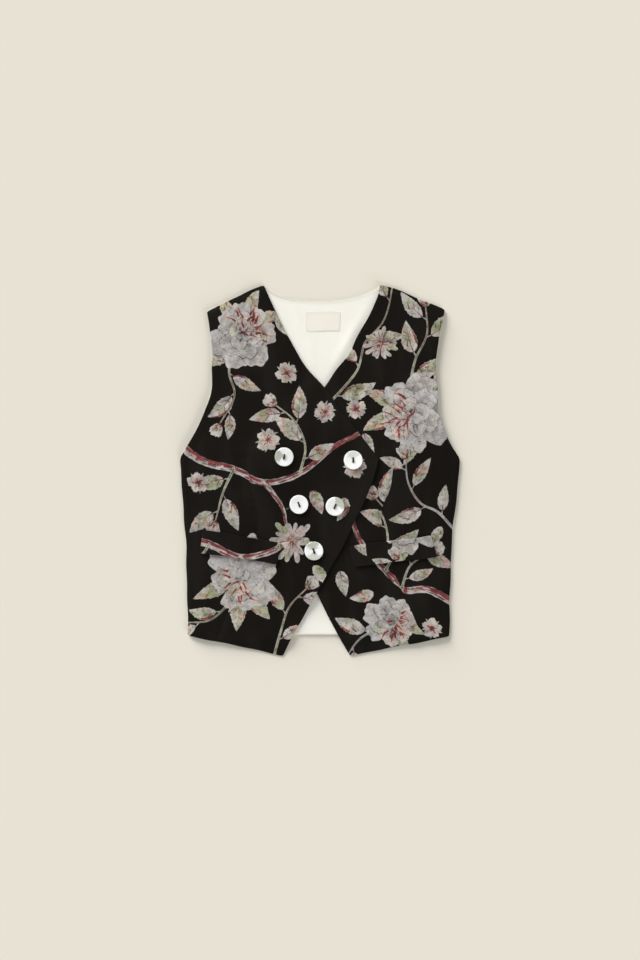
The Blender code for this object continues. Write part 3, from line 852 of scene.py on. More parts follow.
def draw_right_front(figure):
    """The figure as it falls on the right front."""
    branch(figure, [(-216, 44), (-176, 14), (-132, 2), (-84, -18), (-30, -4), (22, 36), (74, 62)],
           13.0, 6.0, 3)
    branch(figure, [(-84, -18), (-58, -52), (-48, -92)], 7.5, 3.5, 4, -1)
    twig(figure, [(-132, 2), (-154, -34), (-170, -76)], 3, 48, 11, buds=1)
    twig(figure, [(-30, -4), (-22, 36), (-38, 74), (-66, 98)], 4, 46, 13, buds=1)
    twig(figure, [(-70, -282), (-58, -238), (-46, -204), (-20, -176)], 3, 46, 14, buds=1)
    twig(figure, [(-116, 200), (-136, 152), (-128, 112), (-150, 70)], 4, 44, 12, buds=1)
    twig(figure, [(-136, -186), (-168, -222), (-204, -228)], 2, 44, 16, buds=0)
    blossom(figure, -122, -158, 60, 80, 21)
    blossom(figure, -114, 206, 50, 250, 22)
    shaggy_blossom(figure, -42, -104, 32, 30, 23)
    small_blossom(figure, -78, 46, 18, 10, 31)
    small_blossom(figure, 8, 88, 16, 50, 32)
    small_blossom(figure, 52, 6, 17, 0, 33)
    small_blossom(figure, -188, -18, 16, 20, 34)
    small_blossom(figure, -50, 146, 16, 40, 35)
    single_leaves(figure, RIGHT_SINGLE_LEAVES, 41)


def draw_left_front(figure):
    """The figure as it falls on the left front."""
    branch(figure, [(208, -196), (172, -178), (134, -178), (98, -150), (62, -108), (44, -60)],
           12.0, 6.0, 5, -1)
    twig(figure, [(134, -178), (150, -142), (182, -122)], 3, 46, 55, buds=1)
    twig(figure, [(98, -150), (116, -112), (108, -72), (84, -42)], 3, 48, 52)
    twig(figure, [(132, 112), (142, 164), (160, 204), (158, 246)], 4, 48, 53)
    twig(figure, [(-6, 82), (28, 116), (56, 150), (68, 190), (96, 226), (112, 282)], 4, 48, 54, buds=0)
    twig(figure, [(98, -232), (62, -250), (38, -280)], 2, 42, 56, buds=0)
    blossom(figure, 138, 84, 57, 20, 61)
    blossom(figure, 106, -226, 40, 160, 62, sepals=2)
    shaggy_blossom(figure, 92, 190, 26, 0, 63)
    twig(figure, [(216, -88), (188, -62), (160, -48), (138, -18), (128, 18)], 4, 46, 57, buds=1)
    small_blossom(figure, 54, 92, 15, 40, 74)
    small_blossom(figure, 172, -236, 15, 5, 75)
    single_leaves(figure, LEFT_SINGLE_LEAVES, 81)


def woven_fields(plan, draw_front, sections=None, shift=(0.0, 0.0)):
    """The figure at each point of a piece. The dart takes in cloth, so the figure breaks there."""
    x = plan[..., 0] + shift[0]
    y = plan[..., 1] + shift[1]
    if sections:
        outer = math.copysign(1.0, sections[0].side_x)
        depth = DARTS_TAKE_IN * np.sin(math.pi * np.clip((y - DART_LOW) / DART_LENGTH, 0.0, 1.0))
        x[:, :SIDE_COLUMNS + 1] += outer * depth[:, :SIDE_COLUMNS + 1]
    figure = blank_figure(x, y)
    draw_front(figure)
    fields = {key: figure[key].reshape(x.shape) for key in FIELDS}
    fields["tint"] = figure["tint"].reshape(*x.shape, 3)
    return fields


class Paint:
    """A material, built up node by node. A colour is given as red, green and blue."""

    def __init__(self, name, shader_inputs):
        self.material = bpy.data.materials.new(name)
        self.material.use_nodes = True
        self.shader = self.material.node_tree.nodes["Principled BSDF"]
        self.fill(self.shader, shader_inputs)

    def fill(self, node, values):
        """Gives inputs of a node a value, a colour or what another node puts out."""
        for key, value in values.items():
            socket = node.inputs[key]
            if isinstance(value, bpy.types.NodeSocket):
                self.material.node_tree.links.new(value, socket)
            elif isinstance(value, tuple) and socket.type == "RGBA":
                socket.default_value = (*value, 1.0)
            else:
                socket.default_value = value

    def node(self, kind, output, values, **settings):
        """Adds a node and returns one of its outputs."""
        node = self.material.node_tree.nodes.new("ShaderNode" + kind)
        for key, value in settings.items():
            setattr(node, key, value)
        self.fill(node, values)
        return node.outputs[output]

    def place(self, scale=None):
        """Where a point lies on the object, stretched or not."""
        place = self.node("TexCoord", "Object", {})
        return self.node("Mapping", "Vector", {"Vector": place, "Scale": scale}) if scale else place

    def attribute(self, name, output="Fac"):
        """One of the mesh's own values."""
        return self.node("Attribute", output, {}, attribute_name=name)

    def noise(self, place, scale, detail=2.0, roughness=0.5):
        """An uneven value between 0 and 1."""
        values = {"Vector": place, "Scale": scale, "Detail": detail, "Roughness": roughness}
        return self.node("TexNoise", "Fac", values)

    def wave(self, place, direction, scale, distortion, detail=2.0):
        """Even bands across one direction."""
        values = {"Vector": place, "Scale": scale, "Distortion": distortion, "Detail": detail}
        return self.node("TexWave", "Fac", values, bands_direction=direction)

    def ramp(self, value, low, high):
        """0 at one value, 1 at the other and a smooth rise between them."""
        values = {"Value": value, "From Min": low, "From Max": high}
        return self.node("MapRange", "Result", values, interpolation_type="SMOOTHSTEP")

    def mixed(self, factor, first, second):
        """A blend of two colours."""
        return self.node("Mix", "Result", {"Factor": factor, "A": first, "B": second}, data_type="RGBA")

    def calc(self, operation, *values):
        """A sum of up to three values."""
        return self.node("Math", "Value", dict(enumerate(values)), operation=operation)

    def finish(self, colour, height, strength, distance):
        """Gives the material its colour and its relief."""
        values = {"Height": height, "Strength": strength, "Distance": distance}
        self.fill(self.shader, {"Base Color": colour, "Normal": self.node("Bump", "Normal", values)})


def lay_cloth(piece, paint, nodes=()):
    """Finishes a cloth piece: its material, its body, and the solids it stands for, which it hides."""
    piece.data.materials.append(paint.material)
    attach(piece, "root")
    if nodes:
        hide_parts(*nodes)


# The figured cloth: black, with the pale figure woven in and its threads in relief
FIGURED_SHADER = {"Roughness": 0.85, "Specular IOR Level": 0.12, "Specular Tint": (1.0, 0.90, 0.80),
                  "Sheen Weight": 0.02, "Sheen Roughness": 0.5}
BLACKS = [(0.0020, 0.0014, 0.0007), (0.0068, 0.0052, 0.0034)]
# the black where a painted sheen of soft, long folds lightens it
SHEEN_BLACKS = [(0.0048, 0.0038, 0.0027), (0.0112, 0.0096, 0.0078)]
INSIDE_BLACKS = [(0.006, 0.0055, 0.0048), (0.016, 0.0148, 0.0125)]
CRIMSONS = [(0.128, 0.024, 0.032), (0.262, 0.066, 0.066)]
DIM = (0.14, 0.12, 0.105)
BRIGHT = (0.80, 0.77, 0.73)
INK = (0.034, 0.028, 0.022)
FLECK = (0.030, 0.026, 0.022)
BETWEEN_THREADS = (0.02, 0.017, 0.015)
RAGGED = 1.4

figured = Paint("figured black cloth", FIGURED_SHADER)
threads = figured.noise(figured.place((1.0, 2.0, 1.0)), 900.0, 2.0, 0.6)
flecks = figured.noise(figured.place(), 430.0, 3.0, 0.7)
patches = figured.noise(figured.place(), 95.0, 3.0, 0.65)
ragged = figured.calc("MULTIPLY", figured.calc("SUBTRACT", threads, 0.5), RAGGED)
figure, ink, red = (figured.calc("ADD", figured.attribute(name), ragged) for name in FIELDS)
ground = figured.ramp(figure, -0.25, 0.35)
crimson = figured.ramp(red, -0.35, 0.55)
faint = figured.calc("MULTIPLY_ADD", figured.ramp(patches, 0.62, 0.40), 0.6, 0.3)
lines = figured.calc("SUBTRACT", 1.0, figured.ramp(ink, 0.1, 0.8))
lines = figured.calc("MULTIPLY", lines, figured.ramp(figured.attribute("figure"), -0.6, -1.6))
lines = figured.calc("MULTIPLY", lines, faint)
tint = figured.attribute("tint", "Color")
shade = figured.ramp(patches, 0.35, 0.65)
pale = figured.mixed(shade, figured.mixed(0.42, tint, DIM), figured.mixed(0.20, tint, BRIGHT))
drawn = figured.mixed(crimson, figured.mixed(shade, *CRIMSONS), pale)
drawn = figured.mixed(lines, drawn, INK)
drawn = figured.mixed(figured.ramp(flecks, 0.345, 0.435), figured.mixed(0.58, drawn, FLECK), drawn)
between = figured.mixed(0.22, drawn, BETWEEN_THREADS)
drawn = figured.mixed(figured.ramp(threads, 0.30, 0.55), between, drawn)
# painted sheen: broad soft bands drawn out lengthwise, where the black is lighter as on soft folds
painted_sheen = figured.ramp(figured.noise(figured.place((1.0, 0.35, 1.0)), 26.0), 0.42, 0.68)
black = figured.mixed(painted_sheen, figured.mixed(threads, *BLACKS), figured.mixed(threads, *SHEEN_BLACKS))
weave = figured.wave(figured.place(), "DIAGONAL", 520.0, 1.2, 1.0)
relief = figured.calc("ADD", figured.calc("MULTIPLY", weave, 0.25), threads)
raised = figured.calc("MULTIPLY", figured.calc("SUBTRACT", 1.0, ground), 1.2)
figured.finish(figured.mixed(ground, drawn, black), figured.calc("ADD", relief, raised), 0.35, 0.0003)

inner_black = Paint("black cloth inside", {"Roughness": 0.9, "Specular IOR Level": 0.1})
weave = inner_black.noise(inner_black.place(), 1100.0)
inner_black.finish(inner_black.mixed(weave, *INSIDE_BLACKS), weave, 0.3, 0.0002)

INNER_INSET = 3.0
INNER_LIFT = 0.1
INNER_GRID = (4, 8, 14)
Front = namedtuple("Front", "node sections underside draw beneath")

FRONTS = [
    Front("left_front", LEFT_FRONT, left_underside, draw_left_front, "back_lining"),
    Front("right_front", RIGHT_FRONT, right_underside, draw_right_front, "left_front"),
]
for front in FRONTS:
    plan = front_plan(front.sections, ROWS_PER_SECTION, SIDE_COLUMNS, EDGE_COLUMNS)
    underarm = CORNER * ROWS_PER_SECTION
    fields = woven_fields(plan, front.draw, front.sections)
    plan = pushed(soften(plan, [*GRID_CORNERS, (underarm, 0), (underarm, -1)]))
    height = front_top(front.sections, front.underside, plan[..., 0], plan[..., 1])
    cloth = turned_piece(front.node + "_cloth", plan, height, FRONT_WALL, fields)
    lay_cloth(cloth, figured, nodes=[front.node])

    plan = front_plan(front.sections, *INNER_GRID)
    middle = plan.mean(axis=(0, 1))
    height = front.underside(plan[..., 0], plan[..., 1]) + INNER_LIFT
    plan[0, :, 1] += INNER_INSET
    plan[-1, :, 1] -= INNER_INSET
    plan[:, 0, 0] += math.copysign(INNER_INSET, middle[0] - plan[0, 0, 0])
    plan[:, -1, 0] -= math.copysign(INNER_INSET, middle[0] - plan[0, 0, 0])
    inner = grid_piece(front.node + "_inside", np.dstack([plan, height]))
    inner.data.flip_normals()
    lay_cloth(inner, inner_black)


# The pocket flaps
# Slanted flaps of the same cloth, cut from other parts of its figure. Each is sewn on along
# its upper edge, and its lower edge stands off the front a little.

FLAP_WALL = 1.5
FLAP_AIR = 0.5
FLAP_FLARE = 0.9
FLAP_COLUMNS = 112
FLAP_ROWS = 32
FLAP_RIPPLE = 0.25
FLAP_RIPPLE_REACH = 13.0

Flap = namedtuple("Flap", "front figure_shift outer_top inner_top inner_low outer_low")

FLAPS = [
    Flap(FRONTS[1], (34.0, 112.0), (-175.5, -88.3), (-57.8, -107.8), (-64.5, -140.0), (-180.8, -122.9)),
    Flap(FRONTS[0], (12.0, 152.0), (166.5, -97.3), (42.8, -113.0), (51.8, -143.8), (175.5, -129.5)),
]
for flap in FLAPS:
    across = np.linspace(0.0, 1.0, FLAP_COLUMNS + 1)[None, :, None]
    down = np.linspace(0.0, 1.0, FLAP_ROWS + 1)[:, None, None]
    top = (1 - across) * np.array(flap.outer_top) + across * np.array(flap.inner_top)
    low = (1 - across) * np.array(flap.outer_low) + across * np.array(flap.inner_low)
    plan = (1 - down) * top + down * low
    fields = woven_fields(plan, flap.front.draw, shift=flap.figure_shift)
    plan = soften(plan)
    x, y = plan[..., 0], plan[..., 1]
    stand = FLAP_AIR + FLAP_FLARE * down[..., 0] ** 2
    ripple = FLAP_RIPPLE * np.sin(x / FLAP_RIPPLE_REACH) * down[..., 0] ** 2
    height = flap.front.underside(x, y) + FRONT_WALL + FLAP_WALL + stand + ripple
    name = flap.front.node.replace("front", "pocket_flap")
    cloth = turned_piece(name + "_cloth", plan, height, FLAP_WALL, fields)
    lay_cloth(cloth, figured, nodes=[name])


# The back and its lining
# One flat panel of cream cloth and a smooth cream lining on it, turned in and sewn together
# round the neck and the hem. They show in the V of the neck, in the notch and from below.

BACK_INSET = 0.6
LINING_SEWN_INSET = 6.5
LINING_NECK_INSET = 1.3
LINING_HEM_INSET = 0.8
TIP_DOWN_SHARE = 0.6
NECK_DOWN_SHARE = 0.7
NECK_IN_SHARE = 0.4
BACK_HEM_Y = -246.0
BACK_ROWS_PER_SECTION = 9
NECK_STEPS = 9
SHOULDER_COLUMNS = 20
EDGE_ROUND = 0.10
EDGE_ANGLE = math.radians(60)
# Painted shade along the neck seam: the colour the cream is darkened towards there, and how far it reaches
NECK_PAINTED_SHADE = (0.50, 0.48, 0.41)
NECK_SHADE_REACH = 3.2
CREASE_CLEAR = 14.0

NeckPoint = namedtuple("NeckPoint", "x y")

BACK_NECK = [
    NeckPoint(-82.5, 275.6),
    NeckPoint(-73.0, 266.6),
    NeckPoint(-56.0, 258.9),
    NeckPoint(-30.0, 254.9),
    NeckPoint(12.0, 254.3),
    NeckPoint(44.0, 257.4),
    NeckPoint(70.0, 265.9),
    NeckPoint(92.5, 275.6),
]


def moved_in(path, ring, amount):
    """A line of points moved square to itself towards the inside of a ring."""
    square = square_to(path)
    middle = len(path) // 2
    trial = path[middle] + square[middle]
    if not inside(ring, trial[0], trial[1]):
        square = -square
    return path + square * amount


def back_plan(sewn_inset, neck_inset, hem_inset):
    """Plan points of the back or its lining, blended between its four edges."""
    right = section_line(RIGHT_FRONT, "side", BACK_ROWS_PER_SECTION)
    left = section_line(LEFT_FRONT, "side", BACK_ROWS_PER_SECTION)
    ring = np.vstack([right, left[::-1]])
    corner_row = CORNER * BACK_ROWS_PER_SECTION
    sides = []
    for path in (right, left):
        below = moved_in(path[:corner_row + 1], ring, sewn_inset)
        above = moved_in(path[corner_row:], ring, sewn_inset)
        side = np.vstack([below[:-1], (below[-1] + above[0]) / 2, above[1:]])
        side[0, 1] = BACK_HEM_Y + hem_inset
        side[-1, 1] -= sewn_inset * TIP_DOWN_SHARE
        sides.append(side)
    right, left = sides
    neck = smooth_path(BACK_NECK, NECK_STEPS) - np.array([0.0, neck_inset])
    neck[0] += (sewn_inset * NECK_IN_SHARE, -sewn_inset * NECK_DOWN_SHARE)
    neck[-1] += (-sewn_inset * NECK_IN_SHARE, -sewn_inset * NECK_DOWN_SHARE)
    right_shoulder = np.linspace(right[-1], neck[0], SHOULDER_COLUMNS + 1)
    left_shoulder = np.linspace(neck[-1], left[-1], SHOULDER_COLUMNS + 1)
    top = np.vstack([right_shoulder[:-1], neck, left_shoulder[1:]])
    across = (top[:, 0] - top[0, 0]) / (top[-1, 0] - top[0, 0])
    hem = right[0] + across[:, None] * (left[0] - right[0])
    up = np.linspace(0.0, 1.0, len(right))[:, None, None]
    across = across[None, :, None]
    between_sides = (1 - across) * right[:, None, :] + across * left[:, None, :]
    between_ends = (1 - up) * hem[None] + up * top[None]
    corners = (1 - up) * ((1 - across) * hem[0] + across * hem[-1])
    corners = corners + up * ((1 - across) * top[0] + across * top[-1])
    return between_sides + between_ends - corners


def woven_cream(name, colour, deep, thread, sheen, roughness):
    """Cream cloth: two close tones in a fine plain weave, darkened by painted shade along the neck seam,
    with a soft sheen.
    """
    cream = Paint(name, {"Roughness": roughness, "Specular IOR Level": 0.3, "Sheen Weight": sheen})
    place = cream.place()
    tone = cream.mixed(cream.ramp(cream.noise(place, 14.0, 3.0, 0.55), 0.25, 0.62), deep, colour)
    # painted shade along the neck seam, from the mesh's seam value
    tone = cream.mixed(cream.attribute("seam"), tone, NECK_PAINTED_SHADE)
    bands = math.pi / 20 / thread
    weave = cream.calc("MULTIPLY", *(cream.wave(place, way, bands, 0.6) for way in ("X", "Y")))
    relief = cream.calc("ADD", weave, cream.noise(place, 260.0, 3.0, 0.7))
    cream.finish(tone, relief, 0.22, 0.0002)
    return cream


def painted_neck_shade(plan, depth):
    """How deep the painted shade is at each place, along the pressed seam round the neck."""
    gap = distance_to(smooth_path(BACK_NECK, NECK_STEPS), plan[..., 0], plan[..., 1])
    return {"seam": depth * np.exp(-(gap / NECK_SHADE_REACH) ** 2)}


def closed_wall(piece, wall, rounding):
    """Gives a sheet its thickness, upwards, and rounds its edges over."""
    thickness = piece.modifiers.new("cloth thickness", "SOLIDIFY")
    thickness.thickness = wall * MM
    thickness.offset = 1.0
    rounded = piece.modifiers.new("turned edge", "BEVEL")
    rounded.width = rounding * MM
    rounded.segments = 2
    rounded.limit_method = "ANGLE"
    rounded.angle_limit = EDGE_ANGLE


# The lining's own soft creases
LINING_CREASES = [
    Fold(-34.0, 236.0, 42.0, 7.0, 108.0, 0.55),
    Fold(-12.0, 178.0, 30.0, 6.0, 96.0, 0.50),
    Fold(42.0, 193.0, 46.0, 7.5, 60.5, 0.85),
    Fold(-2.0, -214.0, 22.0, 6.0, 84.0, 0.35),
]


def lining_rise(x, y):
    """How far the lining's creases lift it, away from the fronts that lie on it."""
    seen = np.minimum(off_front(LEFT_FRONT, x, y), off_front(RIGHT_FRONT, x, y))
    return fold_height(LINING_CREASES, x, y) * soft_step(seen / CREASE_CLEAR)


# The back panel's cream is painted darker than the lining's, as painted shade on its lit edge where it
# shows beyond the lining
shaded_back_cloth = woven_cream("cream back cloth", (0.70, 0.68, 0.59), (0.65, 0.63, 0.54), 0.0006, 0.10, 0.85)
lining_cloth = woven_cream("cream lining", (0.925, 0.908, 0.818), (0.895, 0.878, 0.785), 0.0004, 0.25, 0.62)

plan = back_plan(BACK_INSET, 0.0, 0.0)
# the back panel gets deep painted shade along the neck seam
back = grid_piece("back_panel_cloth", np.dstack([plan, np.zeros(plan.shape[:2])]), painted_neck_shade(plan, 0.7))
closed_wall(back, BACK_WALL, EDGE_ROUND)
lay_cloth(back, shaded_back_cloth, nodes=["back_panel"])

plan = back_plan(LINING_SEWN_INSET, LINING_NECK_INSET, LINING_HEM_INSET)
height = BACK_WALL + SEAM_GAP + lining_rise(plan[..., 0], plan[..., 1])
# the lining gets lighter painted shade along the neck seam
lining = grid_piece("back_lining_cloth", np.dstack([plan, height]), painted_neck_shade(plan, 0.38))
closed_wall(lining, LINING_WALL, EDGE_ROUND)
lay_cloth(lining, lining_cloth, nodes=["back_lining"])


# The neck label
# A small woven label, bare, turned in all round and sewn to the lining with cream thread.

LABEL_CENTRE = (4.5, 223.5)
LABEL_WIDTH = 52.0
LABEL_HEIGHT = 30.0
LABEL_WALL = 0.3
LABEL_GAP = 0.18
# how far in from the label's edge its painted shade reaches
LABEL_EDGE_SHADE_REACH = 1.1
LABEL_CURL = 0.10
LABEL_CREAMS = [(0.862, 0.820, 0.716), (0.908, 0.870, 0.764)]
# the colour of the painted shade round the label's edge
LABEL_PAINTED_EDGE_SHADE = (0.66, 0.63, 0.55)
LABEL_COLUMNS = 52
LABEL_ROWS = 30
LABEL_STITCH = 2.0
LABEL_STITCH_GAP = 1.1
LABEL_STITCH_INSET = 1.8
# how deep the painted shade round the label's edge is
LABEL_EDGE_SHADE_DEPTH = 0.6
LABEL_THREAD_RADIUS = 0.16
STITCH_DIP = 0.15

label_cloth = Paint("woven label", {"Roughness": 0.5, "Specular IOR Level": 0.35, "Sheen Weight": 0.1})
place = label_cloth.place()
tone = label_cloth.mixed(label_cloth.noise(place, 420.0, 3.0), *LABEL_CREAMS)
# painted shade round the label's edge, from the mesh's edge value
tone = label_cloth.mixed(label_cloth.attribute("edge"), tone, LABEL_PAINTED_EDGE_SHADE)
label_cloth.finish(tone, label_cloth.wave(place, "Y", 400.0, 0.8, 1.0), 0.2, 0.0001)


def label_level(x, y):
    """Height of the label's upper face, which curls a little and follows the lining."""
    curl = LABEL_CURL * np.sin(x / 11.0 + 1.0) * np.cos(y / 17.0)
    return BACK_WALL + LINING_WALL + LABEL_GAP + LABEL_WALL + curl + lining_rise(x, y)


across = np.linspace(-0.5, 0.5, LABEL_COLUMNS + 1) * LABEL_WIDTH + LABEL_CENTRE[0]
up = np.linspace(-0.5, 0.5, LABEL_ROWS + 1) * LABEL_HEIGHT + LABEL_CENTRE[1]
plan = np.dstack(np.meshgrid(across, up))
to_side = LABEL_WIDTH / 2 - np.abs(plan[..., 0] - LABEL_CENTRE[0])
to_end = LABEL_HEIGHT / 2 - np.abs(plan[..., 1] - LABEL_CENTRE[1])
# painted shade round the label's edge, deepest at the edge itself
edge = {"edge": LABEL_EDGE_SHADE_DEPTH * np.exp(-(np.minimum(to_side, to_end) / LABEL_EDGE_SHADE_REACH) ** 2)}
plan = soften(plan)
label = turned_piece("neck_label_cloth", plan, label_level(plan[..., 0], plan[..., 1]), LABEL_WALL, edge)
lay_cloth(label, label_cloth, nodes=["neck_label"])


def thread_paint(name, deep, light, twist_scale):
    """Sewing thread: a twisted strand with a dull gleam."""
    thread = Paint(name, {"Roughness": 0.65, "Specular IOR Level": 0.25})
    twist = thread.wave(thread.place(), "DIAGONAL", twist_scale, 1.0)
    thread.finish(thread.mixed(twist, deep, light), twist, 0.5, 0.0001)
    return thread


def as_it_looks(piece, guides=()):
    """The mesh of a piece with all its steps carried out. The piece and its guides then go."""
    bpy.context.view_layer.update()
    mesh = bpy.data.meshes.new_from_object(piece.evaluated_get(bpy.context.evaluated_depsgraph_get()))
    for guide in [piece, *guides]:
        bpy.data.objects.remove(guide, do_unlink=True)
    return mesh


def stitch(start, end, hold, crown, level):
    """One stitch between two places: in at each end, and a little above the cloth between."""
    strand = []
    for share, rise in ((0.0, -STITCH_DIP), (hold, crown), (1 - hold, crown), (1.0, -STITCH_DIP)):
        x, y = start + (end - start) * share
        strand.append(Vector((x, y, float(level(x, y)) + rise)) * MM)
    return strand


def sewn_strands(name, strands, radius, paint):
    """Short strands of thread, each along its own points in metres, joined in one mesh."""
    lines = bpy.data.curves.new(name, "CURVE")
    lines.dimensions = "3D"
    lines.bevel_depth = radius * MM
    lines.bevel_resolution = 1
    lines.use_fill_caps = True
    for strand in strands:
        spline = lines.splines.new("POLY")
        spline.points.add(len(strand) - 1)
        for point, spot in zip(spline.points, strand):
            point.co = (*spot, 1.0)
    mesh = as_it_looks(link(name + " line", lines))
    mesh.name = name
    mesh.shade_smooth()
    mesh.materials.clear()
    mesh.materials.append(paint.material)
    piece = link(name, mesh)
    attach(piece, "root")


cream_thread = thread_paint("cream thread", (0.70, 0.66, 0.56), (0.90, 0.87, 0.78), 900.0)
half = np.array([LABEL_WIDTH, LABEL_HEIGHT]) / 2 - LABEL_STITCH_INSET
stitches = []
for side in (-1, 1):
    for way in (0, 1):
        count = int(2 * half[way] / (LABEL_STITCH + LABEL_STITCH_GAP))
        for k in range(count):
            start = np.array(LABEL_CENTRE)
            start[way] += (k + 0.5) * 2 * half[way] / count - half[way] - LABEL_STITCH / 2
            start[1 - way] += side * half[1 - way]
            end = start.copy()
            end[way] += LABEL_STITCH
            stitches.append(stitch(start, end, 0.2, 0.1, label_level))
sewn_strands("neck_label_stitches", stitches, LABEL_THREAD_RADIUS, cream_thread)


# The shell buttons
# Five turned discs of mother-of-pearl, dished inside a soft rim and drilled with two holes.
# Each is sewn to the right front with black thread, over and over between its holes.

BUTTON_RADIUS = 14.0
BUTTON_THICK = 2.6
BUTTON_RIM = 2.4
BUTTON_DISH = 0.6
BUTTON_EDGE = 0.7
BUTTON_FLAT_SHARE = 0.40
BUTTON_SLOPE_PAST_RIM = 1.3
DISH_STEPS = 8
BUTTON_SIDES = 96
BUTTON_AIR = 0.45
BUTTON_SEAT_SAMPLES = 24
HOLE_RADIUS = 1.1
HOLE_SPACING = 6.0
HOLE_SIDES = 20
PEARLS = [(0.93, 0.94, 0.915), (0.985, 0.98, 0.965)]
# the colour of the painted shade in the shell
PEARL_PAINTED_SHADE = (0.46, 0.48, 0.40)
STRANDS = 3
STRAND_RADIUS = 0.52
STRAND_STEPS = 10
STRAND_SPACING = 1.35
STRAND_WANDER = 0.12
BUTTON_CREASE = math.radians(40)

# A gleam is the turn of the painted light streak in the shell, which has painted shade to either side of it
Button = namedtuple("Button", "node x y turn gleam shade_ahead shade_behind")

BUTTONS = [
    Button("button_upper_right", -53.7, 20.6, -8.0, 82.0, 0.95, 0.20),
    Button("button_upper_left", 49.7, 15.8, 2.0, 0.0, 0.42, 0.02),
    Button("button_middle_right", -31.5, -50.6, 20.0, 30.0, 0.05, 0.05),
    Button("button_middle_left", 22.5, -53.5, -22.0, -52.0, 0.85, 0.08),
    Button("button_low", -9.2, -120.1, 18.0, 4.0, 0.85, 0.72),
]


def seat_on_front(button):
    """Where a button lies: square to the cloth under it, and clear of it all round."""
    around = np.linspace(0.0, 2 * math.pi, BUTTON_SEAT_SAMPLES, endpoint=False)
    ring_x = button.x + BUTTON_RADIUS * np.cos(around)
    ring_y = button.y + BUTTON_RADIUS * np.sin(around)
    ends_x = button.x + np.array([BUTTON_RADIUS, -BUTTON_RADIUS, 0.0, 0.0])
    ends_y = button.y + np.array([0.0, 0.0, BUTTON_RADIUS, -BUTTON_RADIUS])
    east, west, north, south = right_underside(ends_x, ends_y)
    slope_x = (east - west) / (2 * BUTTON_RADIUS)
    slope_y = (north - south) / (2 * BUTTON_RADIUS)
    all_x = np.append(ring_x, button.x)
    all_y = np.append(ring_y, button.y)
    plane = slope_x * (all_x - button.x) + slope_y * (all_y - button.y)
    seat = np.max(right_underside(all_x, all_y) - plane) + FRONT_WALL + BUTTON_AIR
    normal = Vector((-slope_x, -slope_y, 1.0)).normalized()
    lean = Vector((0.0, 0.0, 1.0)).rotation_difference(normal).to_matrix().to_4x4()
    spin = Matrix.Rotation(math.radians(button.turn), 4, "Z")
    return Matrix.Translation(Vector((button.x, button.y, seat)) * MM) @ lean @ spin


def turned_button():
    """The mesh of one button at the origin."""
    floor_level = BUTTON_THICK - BUTTON_DISH
    flat = (BUTTON_RADIUS - BUTTON_RIM) * BUTTON_FLAT_SHARE
    slope = BUTTON_RADIUS - BUTTON_RIM + BUTTON_SLOPE_PAST_RIM - flat
    profile = [(0.0, floor_level)]
    for share in np.linspace(0.0, 1.0, DISH_STEPS + 1).tolist():
        profile.append((flat + slope * share, floor_level + BUTTON_DISH * float(soft_step(share))))
    for steps, first, middle in ((6, 0.0, BUTTON_THICK - BUTTON_EDGE), (4, math.pi / 2, BUTTON_EDGE)):
        for step in range(steps + 1):
            angle = first + step / steps * math.pi / 2
            out = BUTTON_RADIUS - BUTTON_EDGE + BUTTON_EDGE * math.sin(angle)
            profile.append((out, middle + BUTTON_EDGE * math.cos(angle)))
    profile.append((0.0, 0.0))
    turned = bmesh.new()
    line = [turned.verts.new((radius * MM, 0.0, level * MM)) for radius, level in profile]
    edges = [turned.edges.new(pair) for pair in zip(line[:-1], line[1:])]
    bmesh.ops.spin(turned, geom=line + edges, cent=(0, 0, 0), axis=(0, 0, 1), dvec=(0, 0, 0),
                   angle=2 * math.pi, steps=BUTTON_SIDES, use_merge=True)
    bmesh.ops.remove_doubles(turned, verts=turned.verts, dist=1e-6)
    bmesh.ops.recalc_face_normals(turned, faces=turned.faces)
    disc = link("turned button", worked("turned button", turned))
    drills = []
    for side in (-1, 1):
        drill = bmesh.new()
        bmesh.ops.create_cone(drill, cap_ends=True, segments=HOLE_SIDES, radius1=HOLE_RADIUS * MM,
                              radius2=HOLE_RADIUS * MM, depth=3 * BUTTON_THICK * MM)
        bmesh.ops.translate(drill, verts=drill.verts, vec=(0.0, side * HOLE_SPACING / 2 * MM, 0.0))
        drills.append(link("drill", worked("drill", drill)))
        hole = disc.modifiers.new("sewing hole", "BOOLEAN")
        hole.operation = "DIFFERENCE"
        hole.solver = "EXACT"
        hole.object = drills[-1]
    return as_it_looks(disc, drills)


# Mother-of-pearl: pale, cool and faintly banded, with a painted reflection: a light streak and painted
# shade to either side of it
shell = Paint("mother-of-pearl", {"Roughness": 0.22, "Specular IOR Level": 0.5, "Coat Weight": 0.35,
                                  "Coat Roughness": 0.08})
across = shell.attribute("across", "Vector")
angle = shell.calc("ARCTAN2", *(shell.node("SeparateXYZ", axis, {"Vector": across}) for axis in ("Y", "X")))
drift = shell.calc("SUBTRACT", shell.noise(across, 130.0, 3.0, 0.6), 0.5)
painted_streak = shell.calc("COSINE", shell.calc("MULTIPLY", shell.calc("MULTIPLY_ADD", drift, 1.8, angle), 2.0))
# painted shade to either side of the painted light streak, as deep as each button's tone
depth = shell.calc("MULTIPLY", shell.ramp(painted_streak, 0.55, -0.35), shell.attribute("tone"))
bands = shell.wave(across, "X", 95.0, 7.0)
shell.finish(shell.mixed(depth, shell.mixed(bands, *PEARLS), PEARL_PAINTED_SHADE), bands, 0.12, 0.0001)

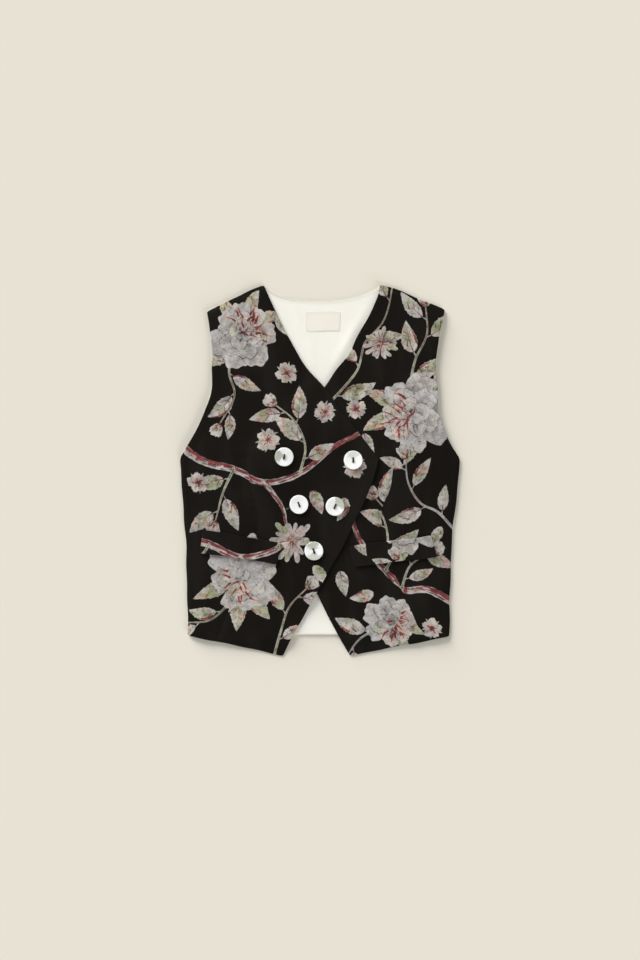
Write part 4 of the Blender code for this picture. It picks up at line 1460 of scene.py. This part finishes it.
black_thread = thread_paint("black thread", (0.003, 0.003, 0.003), (0.012, 0.011, 0.010), 700.0)
button_blank = turned_button()
for button in BUTTONS:
    mesh = button_blank.copy()
    mesh.name = button.node + "_shell"
    gleam = math.radians(button.gleam - button.turn)
    mesh.attributes.new("across", "FLOAT_VECTOR", "POINT")
    mesh.attributes.new("tone", "FLOAT", "POINT")
    for k, vert in enumerate(mesh.vertices):
        x, y, z = vert.co
        turned = (x * math.cos(gleam) + y * math.sin(gleam), y * math.cos(gleam) - x * math.sin(gleam))
        ahead = soft_step(turned[1] / (BUTTON_RADIUS * MM) + 0.5)
        mesh.attributes["across"].data[k].vector = (*turned, z + button.turn * MM)
        # how deep the painted shade is here, between the button's two shades
        shading = button.shade_behind * (1 - ahead) + button.shade_ahead * ahead
        mesh.attributes["tone"].data[k].value = shading
    seat = seat_on_front(button)
    mesh.transform(seat)
    mesh.shade_smooth()
    mesh.set_sharp_from_angle(angle=BUTTON_CREASE)
    mesh.materials.clear()
    mesh.materials.append(shell.material)
    disc = link(button.node + "_shell", mesh)
    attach(disc, "root")
    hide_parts(button.node)
    strands = []
    for k in range(STRANDS):
        beside = (k - (STRANDS - 1) / 2) * STRAND_RADIUS * STRAND_SPACING
        strand = []
        for step in range(STRAND_STEPS + 1):
            share = step / STRAND_STEPS * 2 - 1
            rise = 0.75 * (1 - abs(share) ** 4) - 1.1 * abs(share) ** 9
            spread = beside * (1 + 0.6 * abs(share) ** 6) + STRAND_WANDER * math.sin(3 * share + k)
            level = BUTTON_THICK - BUTTON_DISH + STRAND_RADIUS + rise * 0.4
            strand.append(seat @ (Vector((spread, share * (HOLE_SPACING / 2 + 0.7), level)) * MM))
        strands.append(strand)
    sewn_strands(button.node + "_thread", strands, STRAND_RADIUS, black_thread)


# The buttonhole's end
# Beside one button the tacked end of its buttonhole shows: a few short stitches of grey thread
# over the cloth, squarely across one another.

TACK_PLACE = (-48.2, -56.8)
TACK_TURN = 20.0
TACK_LENGTH = 5.0
TACK_RADIUS = 0.22

# Where each stitch starts and ends along the buttonhole and across it, in shares of its length
Stitch = namedtuple("Stitch", "from_along from_across to_along to_across")

TACK_STITCHES = [
    Stitch(-0.50, -0.16, 0.50, -0.12),
    Stitch(-0.42, 0.12, 0.50, 0.16),
    Stitch(-0.46, -0.30, -0.40, 0.30),
    Stitch(-0.30, -0.28, -0.26, 0.34),
    Stitch(0.02, -0.26, 0.06, 0.26),
]


def tack_place(along, across):
    """A place by the buttonhole's end, given along it and across it."""
    ahead = toward(TACK_TURN)
    return np.array(TACK_PLACE) + (ahead * along + left_of(ahead) * across) * TACK_LENGTH


def right_front_level(x, y):
    """Height of the right front's upper face."""
    return front_top(RIGHT_FRONT, right_underside, x, y)


grey_thread = thread_paint("grey thread", (0.055, 0.053, 0.050), (0.150, 0.145, 0.138), 800.0)
tacks = []
for row in TACK_STITCHES:
    start = tack_place(row.from_along, row.from_across)
    end = tack_place(row.to_along, row.to_across)
    tacks.append(stitch(start, end, 0.15, 0.12, right_front_level))
sewn_strands("right_front_buttonhole_end", tacks, TACK_RADIUS, grey_thread)
